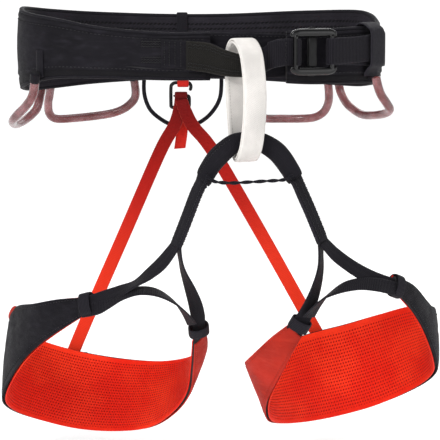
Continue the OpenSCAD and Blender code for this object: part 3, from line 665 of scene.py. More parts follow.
def pad_layer(name, band, t, side, k, relief, rough, grain):
    """One sewn skin of a pad, crowned like the foam under it, with shallow creases."""
    s = pad_shares(k)
    base = foam_half(t, s)
    near_face = np.broadcast_to(side * (base + GAP), (len(band.B), k + 1)).copy()
    far_face = side * (base + GAP + SKIN) * np.ones((len(band.B), 1))
    surface = (band.B[:, None] + band.W[:, None] * s[None, :, None]).reshape(-1, 3)
    waves = soft_noise(surface, grain).reshape(len(band.B), k + 1)
    fade = np.clip(np.minimum(s, 1 - s) * 9, 0, 1)[None, :]
    lift = waves * rough * fade
    if relief is not None:
        lift = lift + relief(band, s)
    far_face = far_face + side * lift
    near_face = near_face + side * np.minimum(lift, 0)
    rim = (near_face + far_face) / 2
    near_face[:, [0, -1]] = rim[:, [0, -1]]
    lo, hi = (near_face, far_face) if side > 0 else (far_face, near_face)
    share = np.concatenate([s, s[-2:0:-1]])
    off = np.concatenate([lo, hi[:, -2:0:-1]], axis=1)
    return loft(name, band.rings(share, off), share, float(np.mean(band.wide)), band.L)


def pad_core(name, band, t, k=16):
    s = 0.035 + 0.93 * pad_shares(k)
    half = foam_half(t, s) * 0.97 * np.ones((len(band.B), 1))
    half[:, [0, -1]] = 0
    share = np.concatenate([s, s[-2:0:-1]])
    off = np.concatenate([-half, half[:, -2:0:-1]], axis=1)
    return loft(name, band.rings(share, off), share, float(np.mean(band.wide)), band.L)


BELT_FROM, BELT_TO, BELT_STATIONS = 24, 362, 211
belt = Band([[on_belt(a, edge_top(a), 0), on_belt(a, edge_low(a), 0)]
             for a in np.linspace(BELT_FROM, BELT_TO, BELT_STATIONS)])


def crease(L, s, wide, start, end, width, depth):
    """A straight fold between two (along, height share) places; depth below zero is a ridge."""
    a = np.array([start[0], start[1] * wide])
    b = np.array([end[0], end[1] * wide])
    d = b - a
    X, Y = np.meshgrid(L, s * wide, indexing="ij")
    f = ((X - a[0]) * d[0] + (Y - a[1]) * d[1]) / np.dot(d, d)
    g = np.clip(f, 0, 1)
    far = np.hypot(X - a[0] - g * d[0], Y - a[1] - g * d[1])
    ease = np.sin(np.pi * np.clip(f, 0.02, 0.98)) ** 0.6
    return -depth * np.exp(-(far / width) ** 2) * ease


def belt_relief(band, s):
    """Seam groove near the lower edge, and folds that gather towards the sewn front."""
    wide, fold_depth = 50.0, 1.5
    lift = np.zeros((len(band.L), len(s)))
    for at, width, height in ((0.125, 0.018, -0.55), (0.175, 0.03, 0.35), (0.955, 0.02, 0.3),
                              (0.915, 0.014, -0.4)):
        lift += height * np.exp(-((s - at) / width) ** 2)
    folds = [((-135, -48, 14), (-88, -74, 3), 1.6, 0.75), ((-128, -56, 24), (-70, -77, 9), 1.8, 0.5),
             ((-110, -68, 4), (-52, -79, 3), 1.3, 0.7), ((-130, -52, -2), (-90, -72, -2), 1.6, 0.4),
             ((-64, -78, 22), (-46, -79, 21.5), 1.3, 0.9), ((-45, -79, 21), (-28, -79, 20), 1.2, 0.8),
             ((-70, -77, -3), (-18, -79, -6.5), 1.7, 1.1), ((-62, -78, 9), (-34, -79, 8.4), 1.3, 0.6),
             ((-120, -60, 12), (-96, -72, 12), 2.2, -0.5), ((-80, -75, -8), (-20, -79, -10), 1.4, -0.5)]
    for a, b, width, depth in folds:
        lift += crease(band.L, s, wide, band.near(a), band.near(b), width, depth * fold_depth)
    return lift


finish_piece(pad_layer("belt_outer_skin", belt, BELT_T, 1, 46, belt_relief, 0.4, 0.03), SOFTSHELL, "softshell",
             "belt_shell")
finish_piece(pad_layer("belt_inner_mesh", belt, BELT_T, -1, 26, None, 0.35, 0.05), DARK_MESH, "dark_mesh",
             "belt_mesh")
belt_pad = finish_piece(pad_core("belt_padding", belt, BELT_T), FOAM, "foam", "belt_foam")


def binding(name, s_edge, sign, node, shift=1.15, thick=1.95, high=1.6, sides=14):
    """Folded edge tape: an oval rim that hugs one of the belt's edges."""
    up = unit(belt.W)
    P = belt.B + belt.W * s_edge + up * sign * shift
    ang = np.arange(sides) * TAU / sides
    R = (P[:, None] + thick * spow(np.cos(ang), 0.8)[None, :, None] * belt.N[:, None]
         + high * spow(np.sin(ang), 0.8)[None, :, None] * up[:, None])
    rim = loft(name, R, np.linspace(0, 1, sides, endpoint=False), 10, belt.L)
    finish_piece(tidy_normals(rim), *BINDING_LOOK, node)


binding("belt_top_binding", 1, 1, "belt_top_piping")
binding("belt_lower_binding", 0, -1, "belt_lower_piping")

tongue = Band(smooth(from_mid([
    (-30, -69.5, 5.5, 0, 0, 17), (-5, -70.5, 5.5, 0, 0, 18), (20, -70.2, 5, 0, 0, 18),
    (45, -69, 4.5, 0, 0, 18), (70, -66, 4.5, 0, 0, 17), (88, -60.5, 4.5, 0, 0, 16)]), 8))
finish_piece(strip("belt_comfort_tongue", tongue, -0.9, 0.9, 12), TONGUE, "softshell", "belt_tongue")

# Folded fabric tab over the rear edge
tab_y = on_belt(187, 0, -BELT_FACE - 0.9)[1]
tab_top = edge_top(187) + 3.4
tab_line = smooth([[tab_y, 18], [tab_y - 0.2, 26], [tab_y + 0.2, tab_top - 3], [tab_y + 2.4, tab_top],
                   [tab_y + 5.6, tab_top - 0.2], [tab_y + 8.8, tab_top - 3], [tab_y + 9.6, tab_top - 7]], 5)
tab = Band([[[-20.6, y, z], [-11.4, y, z]] for y, z in tab_line])
sewn("belt_rear_fabric_tab", tab, -0.45, 0.45, BINDING_LOOK, "belt_rear_label_tab", 6)

# ---------------------------------------------------------------- tie-in webbing, buckle and waist strap
TIE_X, TIE_Y = 36.4, -95.0
tie_in = Band(smooth(from_mid([
    (-30, -83.9, 7, 0, 0, 11), (-10, -84.6, 5.5, 0, 0, 11.4), (8, -87.6, 3.5, 0, 0, 11.8),
    (22, -94, -0.4, 0, 0, 10.2), (TIE_X, -94.6, -2.2, 0, 0, 8.9), (49, -91, 0.8, 0, 0, 9.8),
    (59, -86.6, 6.2, 0, 0, 11), (66, -83.6, 8, 0, 0, 10.8)]), 10))
finish_piece(strip("tie_in_webbing", tie_in, -2, 0), WING, "black_webbing", "tie_in_strap")
sleeve_part = Band(np.stack([tie_in.B + tie_in.W, tie_in.B], 1)[10:51])
finish_piece(strip("tie_in_wear_sleeve_cloth", sleeve_part, 0.1, 1.7, 14, 12), WEAR, "wear_fabric",
             "tie_in_wear_sleeve")

BUCKLE_AT, BUCKLE_TURN = np.array([91, -79.5, 8.0]), math.radians(19)
BAR_X, BAR_R = 15.2, 2.2
WRAP_R, WEB_T = BAR_R + 0.4, 2.0


def in_buckle(x, y, z):
    c, s = math.cos(BUCKLE_TURN), math.sin(BUCKLE_TURN)
    return BUCKLE_AT + np.array([c * x - s * y, s * x + c * y, z])


def bar_wrap(x, start, end, steps, top, low, r):
    rows = []
    for k in range(steps + 1):
        a = math.radians(start + (end - start) * k / steps)
        p = in_buckle(x + r * math.cos(a), r * math.sin(a), 0)
        rows.append([[p[0], p[1], top[0] + (top[1] - top[0]) * k / steps],
                     [p[0], p[1], low[0] + (low[1] - low[0]) * k / steps]])
    return rows


anchor = Band(list(from_mid([(54, -87.6, 5.2, 0, 0, 11), (61, -85, 7, 0, 0, 11),
                             (68, -82.2, 8, 0, 0, 10.8)]))
              + bar_wrap(-BAR_X, 88, -84, 24, [18.5, 18.5], [-2.5, -2.5], WRAP_R + WEB_T))
finish_piece(strip("buckle_anchor_webbing", anchor, 0, WEB_T), *FINE_STRAP_LOOK, "buckle_anchor_strap")


def tail_run():
    """The strap's free end: off the bar, down onto the belt and under the keeper."""
    rows = []
    for f in np.linspace(0, 1, 28):
        out = BELT_FACE + 1 + WEB_T * 1.5 + 2.1 * max(0.0, 1 - 2 * f)
        rows.append([on_belt(50 + 26 * f, 19.4 + 3 * f, out), on_belt(50 + 26 * f, -1.8 + 2.4 * f, out)])
    return rows


strap = Band(belt_run(96, 52, 33, [14, 17.6], [-8, -3.6], BELT_FACE + 0.5 + WEB_T / 2)
             + bar_wrap(BAR_X, 82, 270, 30, [18.2, 19], [-3, -2.2], WRAP_R + WEB_T / 2)
             + tail_run())
finish_piece(strip("waist_strap_webbing", strap, -WEB_T / 2, WEB_T / 2), *FINE_STRAP_LOOK, "waist_strap")


def buckle_frame():
    """Two crowned rails with rounded shoulders on two round bars."""
    parts, faces, base = [], [], 0
    for z0, turn in ((15.25, 1), (-15.25, -1)):
        for i in range(41):
            f = -1 + 2 * i / 40
            x = 20 * spow(np.array(f), 0.9)
            end = max(0.0, 1 - abs(f) ** 7) ** 0.5
            drop = 2.4 * abs(f) ** 6
            half_h, half_t = 3.25 * max(end, 0.12), 2.1 * max(end, 0.12) * (1 + 0.25 * (1 - f * f))
            for k in range(20):
                g = TAU * k / 20
                parts.append(in_buckle(float(x), half_t * float(spow(math.cos(g), 0.75)),
                                       z0 - turn * drop + half_h * float(spow(math.sin(g), 0.8))))
        faces += rod_faces(41, 20, base)
        base = len(parts)
    for side in (-1, 1):
        for i in range(13):
            z = -14 + 28 * i / 12
            for k in range(24):
                g = TAU * k / 24
                parts.append(in_buckle(side * BAR_X + BAR_R * math.cos(g), BAR_R * math.sin(g), z))
        faces += rod_faces(13, 24, base)
        base = len(parts)
    return tidy_normals(mesh_object("buckle_rails_and_bars", parts, faces))


finish_piece(buckle_frame(), BUCKLE, "buckle_metal", "buckle_frame")


def rounded_bar(rows, sides=20):
    """Loft of rounded boxes: rows of (centre x, y, z, half x, half y), run along z."""
    parts = []
    for x, y, z, hx, hy in rows:
        for k in range(sides):
            g = TAU * (k + 0.5) / sides
            c, s = float(spow(math.cos(g), 0.45)), float(spow(math.sin(g), 0.45))
            parts.append(in_buckle(x + hx * c, y + hy * s, z))
    return parts, rod_faces(len(rows), sides)


def buckle_slider():
    x = -1.0
    front = [(x, 0, z, 3.5 * w, 1.3 * w)
             for z, w in ((-11.6, 0.7), (-11, 1), (-5, 1), (0, 0.94), (5, 1), (11, 1), (11.6, 0.7))]
    back = [(x, 2.7, z, 3.5 * w, 0.8 * w)
            for z, w in ((-19.5, 0.6), (-18.8, 1), (0, 1), (18.8, 1), (19.5, 0.6))]
    neck = [(x, 1.4, z, 2.5, 1.2) for z in (-10.8, 0, 10.8)]
    points, faces = [], []
    for rows in (front, back, neck):
        p, f = rounded_bar(rows)
        faces += [tuple(len(points) + k for k in face) for face in f]
        points += p
    return tidy_normals(mesh_object("buckle_sliding_bar", points, faces))


finish_piece(buckle_slider(), SLIDER, "buckle_metal", "buckle_slider")


KEEPER_TURN, KEEPER_HALF, KEEPER_OUT = 65, 10, BELT_FACE + 7


def belt_keeper_band():
    """Elastic sleeve over the strap: sewn to the shell below it, folded over the pad's top edge above it."""
    p = np.array(on_belt(KEEPER_TURN, 0, 0))
    d = unit(np.array(on_belt(KEEPER_TURN + 1, 0, 0)) - np.array(on_belt(KEEPER_TURN - 1, 0, 0)))
    n = np.array([d[1], -d[0], 0])
    out, top = KEEPER_OUT, edge_top(KEEPER_TURN) + 4.6
    line = [[BELT_FACE + 0.9, -13], [BELT_FACE + 1.2, -10], [BELT_FACE + 3.4, -7], [out - 0.5, -4], [out, 0],
            [out, 11], [out, 20], [out - 1.2, 24.6], [BELT_FACE + 1.8, 27.6], [2, top], [-2, top - 0.2],
            [-BELT_FACE - 1.2, top - 4], [-BELT_FACE - 1.3, top - 10]]
    rows = []
    for off, z in line:
        q = p + n * off + np.array([0, 0, z])
        rows.append([q + d * KEEPER_HALF, q - d * KEEPER_HALF])
    return Band(smooth(rows, 7))


finish_piece(strip("belt_strap_keeper", belt_keeper_band(), -0.75, 0.75, 10), ELASTIC, "charcoal_elastic",
             "belt_keeper")

# ---------------------------------------------------------------- gear loops and haul loop
TUBE_R, CORE_R, CUFF_R, CUFF_LONG, CUFF_PAST = 3.7, 2.6, 4.15, 7.5, 0.8
GEAR_OUT = BELT_FACE + 1.9 + TUBE_R
gear_paths = {
    "front_left": [on_belt(-56, -11, GEAR_OUT), [-134.4, -48, -27], [-141, -38, -37.5], [-151, -24, -47.5],
                   [-155, -8, -53], [-153.9, 8, -56], [-148, 26, -54], [-139.6, 41, -46], [-136.6, 50.4, -33],
                   on_belt(238, -20, GEAR_OUT)],
    "rear_left": [on_belt(233, -20, GEAR_OUT), [-130.5, 71, -35], [-132.6, 81, -44], [-132.2, 88, -53],
                  [-126.5, 93, -58], [-110.6, 98, -57.8], [-88.8, 101, -55.6], [-74, 102, -52.6],
                  [-63, 101, -46.4], [-57.3, 97, -37], on_belt(199, -17, GEAR_OUT)],
    "rear_right": [on_belt(167, -16, GEAR_OUT), [33, 95, -36], [39, 99, -52], [54, 101, -58], [72, 101, -58.6],
                   [87, 99, -58.4], [99, 94.5, -57], [107, 88.5, -52], [110.8, 82, -43.5], [111, 75, -34],
                   on_belt(138, -20, GEAR_OUT)],
    "front_right": [on_belt(65, -14, GEAR_OUT), [145, -42.5, -22], [148, -37, -29], [153, -30, -36.2],
                    [156.1, -21, -41.8], [153.2, -10, -45.8], [144.8, 8, -48.6], [136.3, 26, -49.2],
                    [127.5, 44, -44.1], [122.6, 57.5, -37.5], [119.8, 65.4, -30], on_belt(133, -19, GEAR_OUT)]}
for place, path in gear_paths.items():
    line = smooth(path, 9)
    rod(f"gear_loop_tube_{place}", line, TUBE_R, TUBE_LOOK, f"gear_tube_{place}", 20)
    rod(f"gear_loop_core_{place}", line, CORE_R, CORE_LOOK, f"gear_core_{place}", 14)
    for end, part in (("first", line), ("second", line[::-1])):
        if (place, end) != ("front_right", "first"):
            run = np.concatenate([[0], np.cumsum(np.linalg.norm(np.diff(part, axis=0), axis=1))])
            cap = part[0] + unit(part[0] - part[1]) * CUFF_PAST
            rod(f"gear_loop_cuff_{place}_{end}", np.vstack([cap, part[run < CUFF_LONG]]), CUFF_R, BINDING_LOOK,
                [], 20, body=f"gear_{place}")

PATCH_HALF = 2.3
GEAR_SEATS = [[304, -13.5, 8], [238, -24, -4], [233, -24, -4], [199, -20, -2], [167, -19.5, -1], [138, -24, -4],
              [65, -16.4, -13.4], [133, -24, -4]]


def gear_patches():
    points, faces, uvs, across = [], [], [], []
    for a, low, top in GEAR_SEATS:
        band = Band(belt_run(a - PATCH_HALF, a + PATCH_HALF, 8, [top, top], [low, low], BELT_FACE + 0.15))
        s, off = flat_section(0, 1.2, 9, 6)
        grow = np.sin(np.linspace(0.12, math.pi - 0.12, 9)) ** 0.35
        patch = loft_data(band.rings(s, off[None, :] * grow[:, None]), s, float(np.mean(band.wide)), band.L)
        faces += [tuple(len(points) + k for k in face) for face in patch[1]]
        points += list(patch[0])
        uvs += patch[2]
        across += list(patch[3])
    return tidy_normals(mesh_object("gear_loop_patches", points, faces, uvs, across))


finish_piece(gear_patches(), *BINDING_LOOK, "gear_patches")

haul_line = smooth([[-49, 87, -16], [-49.5, 90, -35], [-45, 93, -49], [-36, 95.5, -58], [-25, 97, -64],
                    [-14, 97.5, -66], [-1, 97, -61.5], [10, 95, -52], [17, 91, -38], [18, 88.5, -16]], 8)
haul = rod("haul_loop_cord", haul_line, 1.8, CORD_LOOK, "haul_loop", 14)


# ---------------------------------------------------------------- rear hook and risers
HOOK_Y, HOOK_TOP, HOOK_LOW, WIRE_R = 85.0, -26.0, -37.5, 1.5
TAB_R = WIRE_R + 0.5 + WEB_T / 2
tab_path = ([[HOOK_Y - 1.6, -4], [HOOK_Y - 2.6, -14], [HOOK_Y - TAB_R, HOOK_TOP + 3]]
            + [[HOOK_Y + TAB_R * math.cos(math.radians(a)), HOOK_TOP + TAB_R * math.sin(math.radians(a))]
               for a in range(180, 361, 15)]
            + [[HOOK_Y + 1.2, -14], [HOOK_Y + 1.2, -4]])
hook_tab = Band([[[-20.5, y, z], [-10.5, y, z]] for y, z in tab_path])
sewn("rear_hook_loop_tab", hook_tab, -0.95, 0.95, (HOOK_TAB, "red_webbing"), "rear_hook_tab", 7)

# Left and right sides of the hook, the height of its foot, and the foot's right side
HL, HR, FOOT = -26.0, -8.6, -47.5
FR = HR - 1.5
hook_points = [[HR - 1, HOOK_TOP - 7], [HR, HOOK_TOP - 4], [HR - 0.6, HOOK_TOP - 1.4], [HR - 3, HOOK_TOP],
               [HL + 4.5, HOOK_TOP], [HL + 1.3, HOOK_TOP - 1.3], [HL, HOOK_TOP - 4.5], [HL, FOOT + 2],
               [HL + 0.6, FOOT + 0.6], [HL + 2, FOOT], [FR - 2, FOOT], [FR - 0.6, FOOT + 0.6], [FR, FOOT + 2],
               [FR, HOOK_LOW - 2], [FR - 0.6, HOOK_LOW - 0.6], [FR - 2, HOOK_LOW],
               [HL + WIRE_R + 0.4, HOOK_LOW]]
hook_line = smooth([[x, HOOK_Y, z] for x, z in hook_points], 4)
rod("rear_hook_wire", hook_line, WIRE_R, (HOOK, "hook_metal"), "rear_hook", taper=1.0)

RISER_X, RISER_W, TOP_R = -17.2, 11.0, 2.9
wrap_path = ([[HOOK_Y - TOP_R, -43.5], [HOOK_Y - TOP_R, -41]]
             + [[HOOK_Y + TOP_R * math.cos(math.radians(a)), HOOK_LOW + TOP_R * math.sin(math.radians(a))]
                for a in range(180, -1, -15)]
             + [[HOOK_Y + TOP_R, -41], [HOOK_Y + TOP_R, -43.5]])
wrap = Band([[[RISER_X + RISER_W / 2, y, z], [RISER_X - RISER_W / 2, y, z]] for y, z in wrap_path])
# The loop round the hook uses the darker copy of the riser webbing, which is painted shade.
sewn("riser_top_loop", wrap, -0.8, 0.8, (RISER_PAINTED_SHADE, "red_webbing"), "riser_top_wrap", 7)
tail = Band(smooth(from_mid([
    (RISER_X - 0.5, 89.7, -42.5, 5, 0, 0), (-16.8, 89.9, -56, 5, 0, 0), (-16.5, 90.6, -68, 5, 0, 0),
    (-18.5, 91.2, -84, 5, 0, 0.4)]), 8))
sewn("riser_loose_end", tail, -0.75, 0.75, (RISER_TAIL, "red_webbing"), "riser_tail", 7)
for side, rows in (
        ("left", [(-17.4, 80.2, -40.5, 5.4, 0, -0.6), (-18.6, 80.2, -49, 5.3, 0, -1.4),
                  (-22.9, 81.4, -63, 5.3, 0, -2.1), (-36, 84.6, -87, 5.2, 0, -2.3),
                  (-67, 85.8, -158, 5.2, 0, -2.3), (-100, 85.4, -233, 5.2, 0, -2.3),
                  (-115.5, 85.2, -270, 5.2, 0, -2.2)]),
        ("right", [(-17, 78, -40.5, 5.4, 0, 0.8), (-13.2, 78, -51, 5.3, 0, 2), (-6.4, 79.6, -64, 5.1, 0, 2.7),
                   (12, 84, -88, 5, 0, 2.9), (56, 85.8, -164, 4.9, 0, 2.9), (98, 82.6, -239, 4.9, 0, 2.9),
                   (109, 82, -258, 4.9, 0, 2.9)])):
    sewn(f"{side}_riser_tape", Band(smooth(from_mid(rows), 16)), -0.8, 0.8, RISER_LOOK, f"riser_{side}", 8)

# ---------------------------------------------------------------- belay loop
BELAY_R, BELAY_TOP, BELAY_LOW, BELAY_W, LAYER_T = 13.4, 4.4, -62.8, 20.0, 1.9
YAW = math.radians(30)


def in_belay(u, v, z):
    """The webbing is stiff, so the front strand bows sideways and the rear one leans towards it."""
    t = (z + 29) / 46
    front = (BELAY_R - u) / (2 * BELAY_R)
    v = v + front * (1.2 - 5.6 * t * t) + (1 - front) * 3.6 * max(0.0, 0.3 - t) ** 1.5
    return [TIE_X - math.sin(YAW) * u + math.cos(YAW) * v, TIE_Y + math.cos(YAW) * u + math.sin(YAW) * v, z]


def belay_points(steps=14):
    """Once round the loop: over the top, down the front, under, and up the rear."""
    rows = []
    for turn, x, z, z_next in ((0, -BELAY_R, BELAY_TOP, BELAY_LOW), (180, BELAY_R, BELAY_LOW, BELAY_TOP)):
        rows += [[BELAY_R * math.cos(math.radians(a)), z + BELAY_R * math.sin(math.radians(a))]
                 for a in range(turn, turn + 180, 10)]
        rows += [[x, z + (z_next - z) * k / steps] for k in range(steps)]
    return rows


belay = Band([[in_belay(u, -BELAY_W / 2, z), in_belay(u, BELAY_W / 2, z)] for u, z in belay_points()],
             closed=True)
sewn("belay_loop_outer_layer", belay, 0.04, LAYER_T + 0.1, BELAY_LOOK, "belay_loop_outer", 12, 8)
sewn("belay_loop_inner_layer", belay, -LAYER_T, -0.04, BELAY_LOOK, "belay_loop_inner", 12, 8)

# ---------------------------------------------------------------- padded bridge
BRIDGE_Z = -61.2
bridge = Band(smooth(from_mid([
    (3.2, -95, -92, -5, 0, 6), (10.5, -97.4, -79.5, -5, 0, 6.2), (18, -99.8, -70.8, -4.6, 0, 6.6),
    (27.5, -99.4, -63.4, -2.6, 0, 7.2), (TIE_X + 0.6, -95, BRIDGE_Z, 0, 0, 6.9),
    (48, -90, -62.6, 2.2, 0, 7.2), (59.5, -88.6, -69, 4.4, 0, 6.6), (67.5, -91.2, -77.5, 5.3, 0, 5.9),
    (76.5, -95, -91.5, 5.6, 0, 4.6)]), 9))


def bridge_cover():
    """Round padded sleeve: crowned face with fine wrinkles, gathered ends."""
    sides = 28
    ang = np.arange(sides) * TAU / sides
    f = np.linspace(0, 1, len(bridge.B))
    end = np.clip(np.minimum(f, 1 - f) / 0.045, 0, 1)
    fat = 0.9 + 0.1 * np.sin(math.pi * end / 2)
    wrinkle = (0.10 * np.sin(f[:, None] * 96 + np.cos(ang) * 2.1)
               + 0.08 * np.sin(f[:, None] * 53 + ang * 2))
    across = 0.5 + 0.5 * spow(np.cos(ang), 0.78)
    thick = 4.3 * spow(np.sin(ang), 0.8)
    middle = bridge.B + bridge.W * 0.5
    W = bridge.W * 0.5
    R = (middle[:, None] + W[:, None] * ((2 * across - 1)[None, :, None] * fat[:, None, None] * 1.02)
         + bridge.N[:, None] * ((thick[None, :] * fat[:, None] + wrinkle * np.sign(thick)[None, :])[..., None]))
    share = np.linspace(0, 1, sides, endpoint=False)
    return tidy_normals(loft("bridge_padded_sleeve", R, share, 38, bridge.L))


cover = finish_piece(bridge_cover(), SLEEVE, "softshell", "bridge_sleeve")
core_band = Band(np.stack([bridge.B + bridge.W * 0.85, bridge.B + bridge.W * 0.15], 1))
sewn("bridge_inner_webbing", core_band, -1.3, 1.3, STRAP_LOOK, "bridge_webbing", 8)
cord_line = smooth([[5.5, -102.4, -88], [12, -103.6, -92.6], [24, -103, -94], [38, -101, -93.6],
                    [54, -101.4, -92.6], [67, -102.2, -91.5], [74.5, -101.6, -88]], 10)
STRAND_R, TWIST_R = 0.8, 0.75
cord_turn = np.linspace(0, 9 * math.pi, len(cord_line))
cord_twist = TWIST_R * np.stack([0 * cord_turn, np.cos(cord_turn), np.sin(cord_turn)], 1)
bridge_cord = rod("bridge_spreader_cord", cord_line + cord_twist, STRAND_R, CORD_LOOK, "bridge_cord", 12)
cord_tail = smooth([cord_line[2], cord_line[0] + [0.4, -1.2, -3.4], cord_line[0] + [-1.4, -1.4, -8],
                    cord_line[0] + [1, -1, -9.6]], 6)
rod("bridge_spreader_cord_return", np.concatenate([cord_tail[::-1], (cord_line - cord_twist)[3:]]), STRAND_R,
    CORD_LOOK, [], 12, 0.8, "bridge")

# ---------------------------------------------------------------- leg loops
# Each pad's stations round the leg: top edge, then lower edge
LEG_T = 5.0
left_points = [
    (3.5, -59, -219, -5, -54, -231), (5, -36, -230, -6.5, -26, -255), (3, -5, -244, -10.5, 2, -284),
    (-9, 28, -258, -24, 32, -308), (-36, 58, -267, -45, 58, -326), (-71, 76, -268, -76, 76, -333),
    (-107, 78, -262, -111, 74, -330), (-137, 70, -252, -145, 58, -318), (-156, 48, -240, -164, 30, -303),
    (-160, 18, -222, -165, -5, -284), (-151, -13, -207, -150, -35, -255), (-135, -42, -200, -132, -52, -234),
    (-113, -62, -193, -111, -66, -217), (-88, -77, -189, -86, -77, -200)]
right_points = [
    (157, -75, -172, 156, -73, -184), (173, -52, -183, 172, -55, -202), (187, -22, -201, 185, -37, -223),
    (197, 8, -214, 197, -8, -253), (197, 37, -215, 199, 20, -271), (182, 60, -219, 186, 48, -289),
    (157, 73, -228, 157, 68, -307), (126, 77, -238, 127, 73, -317), (95, 71, -245, 96, 62, -321),
    (67, 51, -252, 69, 38, -318), (47, 24, -258, 58, 7, -307), (39, -8, -255, 57, -22, -286),
    (45, -38, -242, 66, -48, -260), (58, -62, -225, 75, -66, -238), (74, -79, -210, 83, -76, -221)]
STEP = 12
left_pad, right_pad = (smooth(np.reshape(rows, (-1, 2, 3)), STEP) for rows in (left_points, right_points))
LEFT_SPLIT, RIGHT_SPLIT = 5 * STEP, 25 * STEP // 3


def edge_groove(band, s):
    """A sewn line just inside both edges."""
    groove = np.exp(-((s - 0.07) / 0.014) ** 2) + np.exp(-((s - 0.93) / 0.014) ** 2)
    return -0.35 * groove[None, :] * np.ones((len(band.L), 1))


def wing_relief(band, s):
    """Fine folds that run along the black wing."""
    lift = edge_groove(band, s)
    total, wide = band.L[-1], float(np.mean(band.wide))
    for a, b, width, depth in (((0.55, 0.75), (0.8, 0.62), 1.7, 0.7), ((0.5, 0.6), (0.72, 0.5), 1.5, 0.5),
                               ((0.62, 0.35), (0.86, 0.45), 1.5, 0.6), ((0.3, 0.55), (0.5, 0.7), 2.2, 0.5)):
        lift = lift + crease(band.L, s, wide, (a[0] * total, a[1]), (b[0] * total, b[1]), width, depth)
    return lift


# Each pad whole, its black outer part and its red thigh part
leg_bands = {
    "left": (Band(left_pad), Band(left_pad[LEFT_SPLIT:]), Band(left_pad[:LEFT_SPLIT + 1])),
    "right": (Band(right_pad), Band(right_pad[:RIGHT_SPLIT + 1]), Band(right_pad[RIGHT_SPLIT:]))}


def leg_skin(name, band, face, relief, rough, grain, look, node):
    finish_piece(tidy_normals(pad_layer(name, band, LEG_T, face, 34, relief, rough, grain)), *look, node)


for side, (whole, outer, thigh) in leg_bands.items():
    leg = f"{side}_leg"
    leg_skin(f"{leg}_inner_mesh", whole, -1, edge_groove, 0.5, 0.03, (RED_MESH, "red_mesh"), f"{leg}_mesh")
    core = finish_piece(tidy_normals(pad_core(f"{leg}_padding", whole, LEG_T)), FOAM, "foam", f"{leg}_foam")
    leg_skin(f"{leg}_outer_skin", outer, 1, wing_relief, 0.45, 0.03, PATCH_LOOK, f"{leg}_outer_shell")
    leg_skin(f"{leg}_thigh_skin", thigh, 1, edge_groove, 0.35, 0.04, RED_PANEL_LOOK, f"{leg}_thigh_panel")

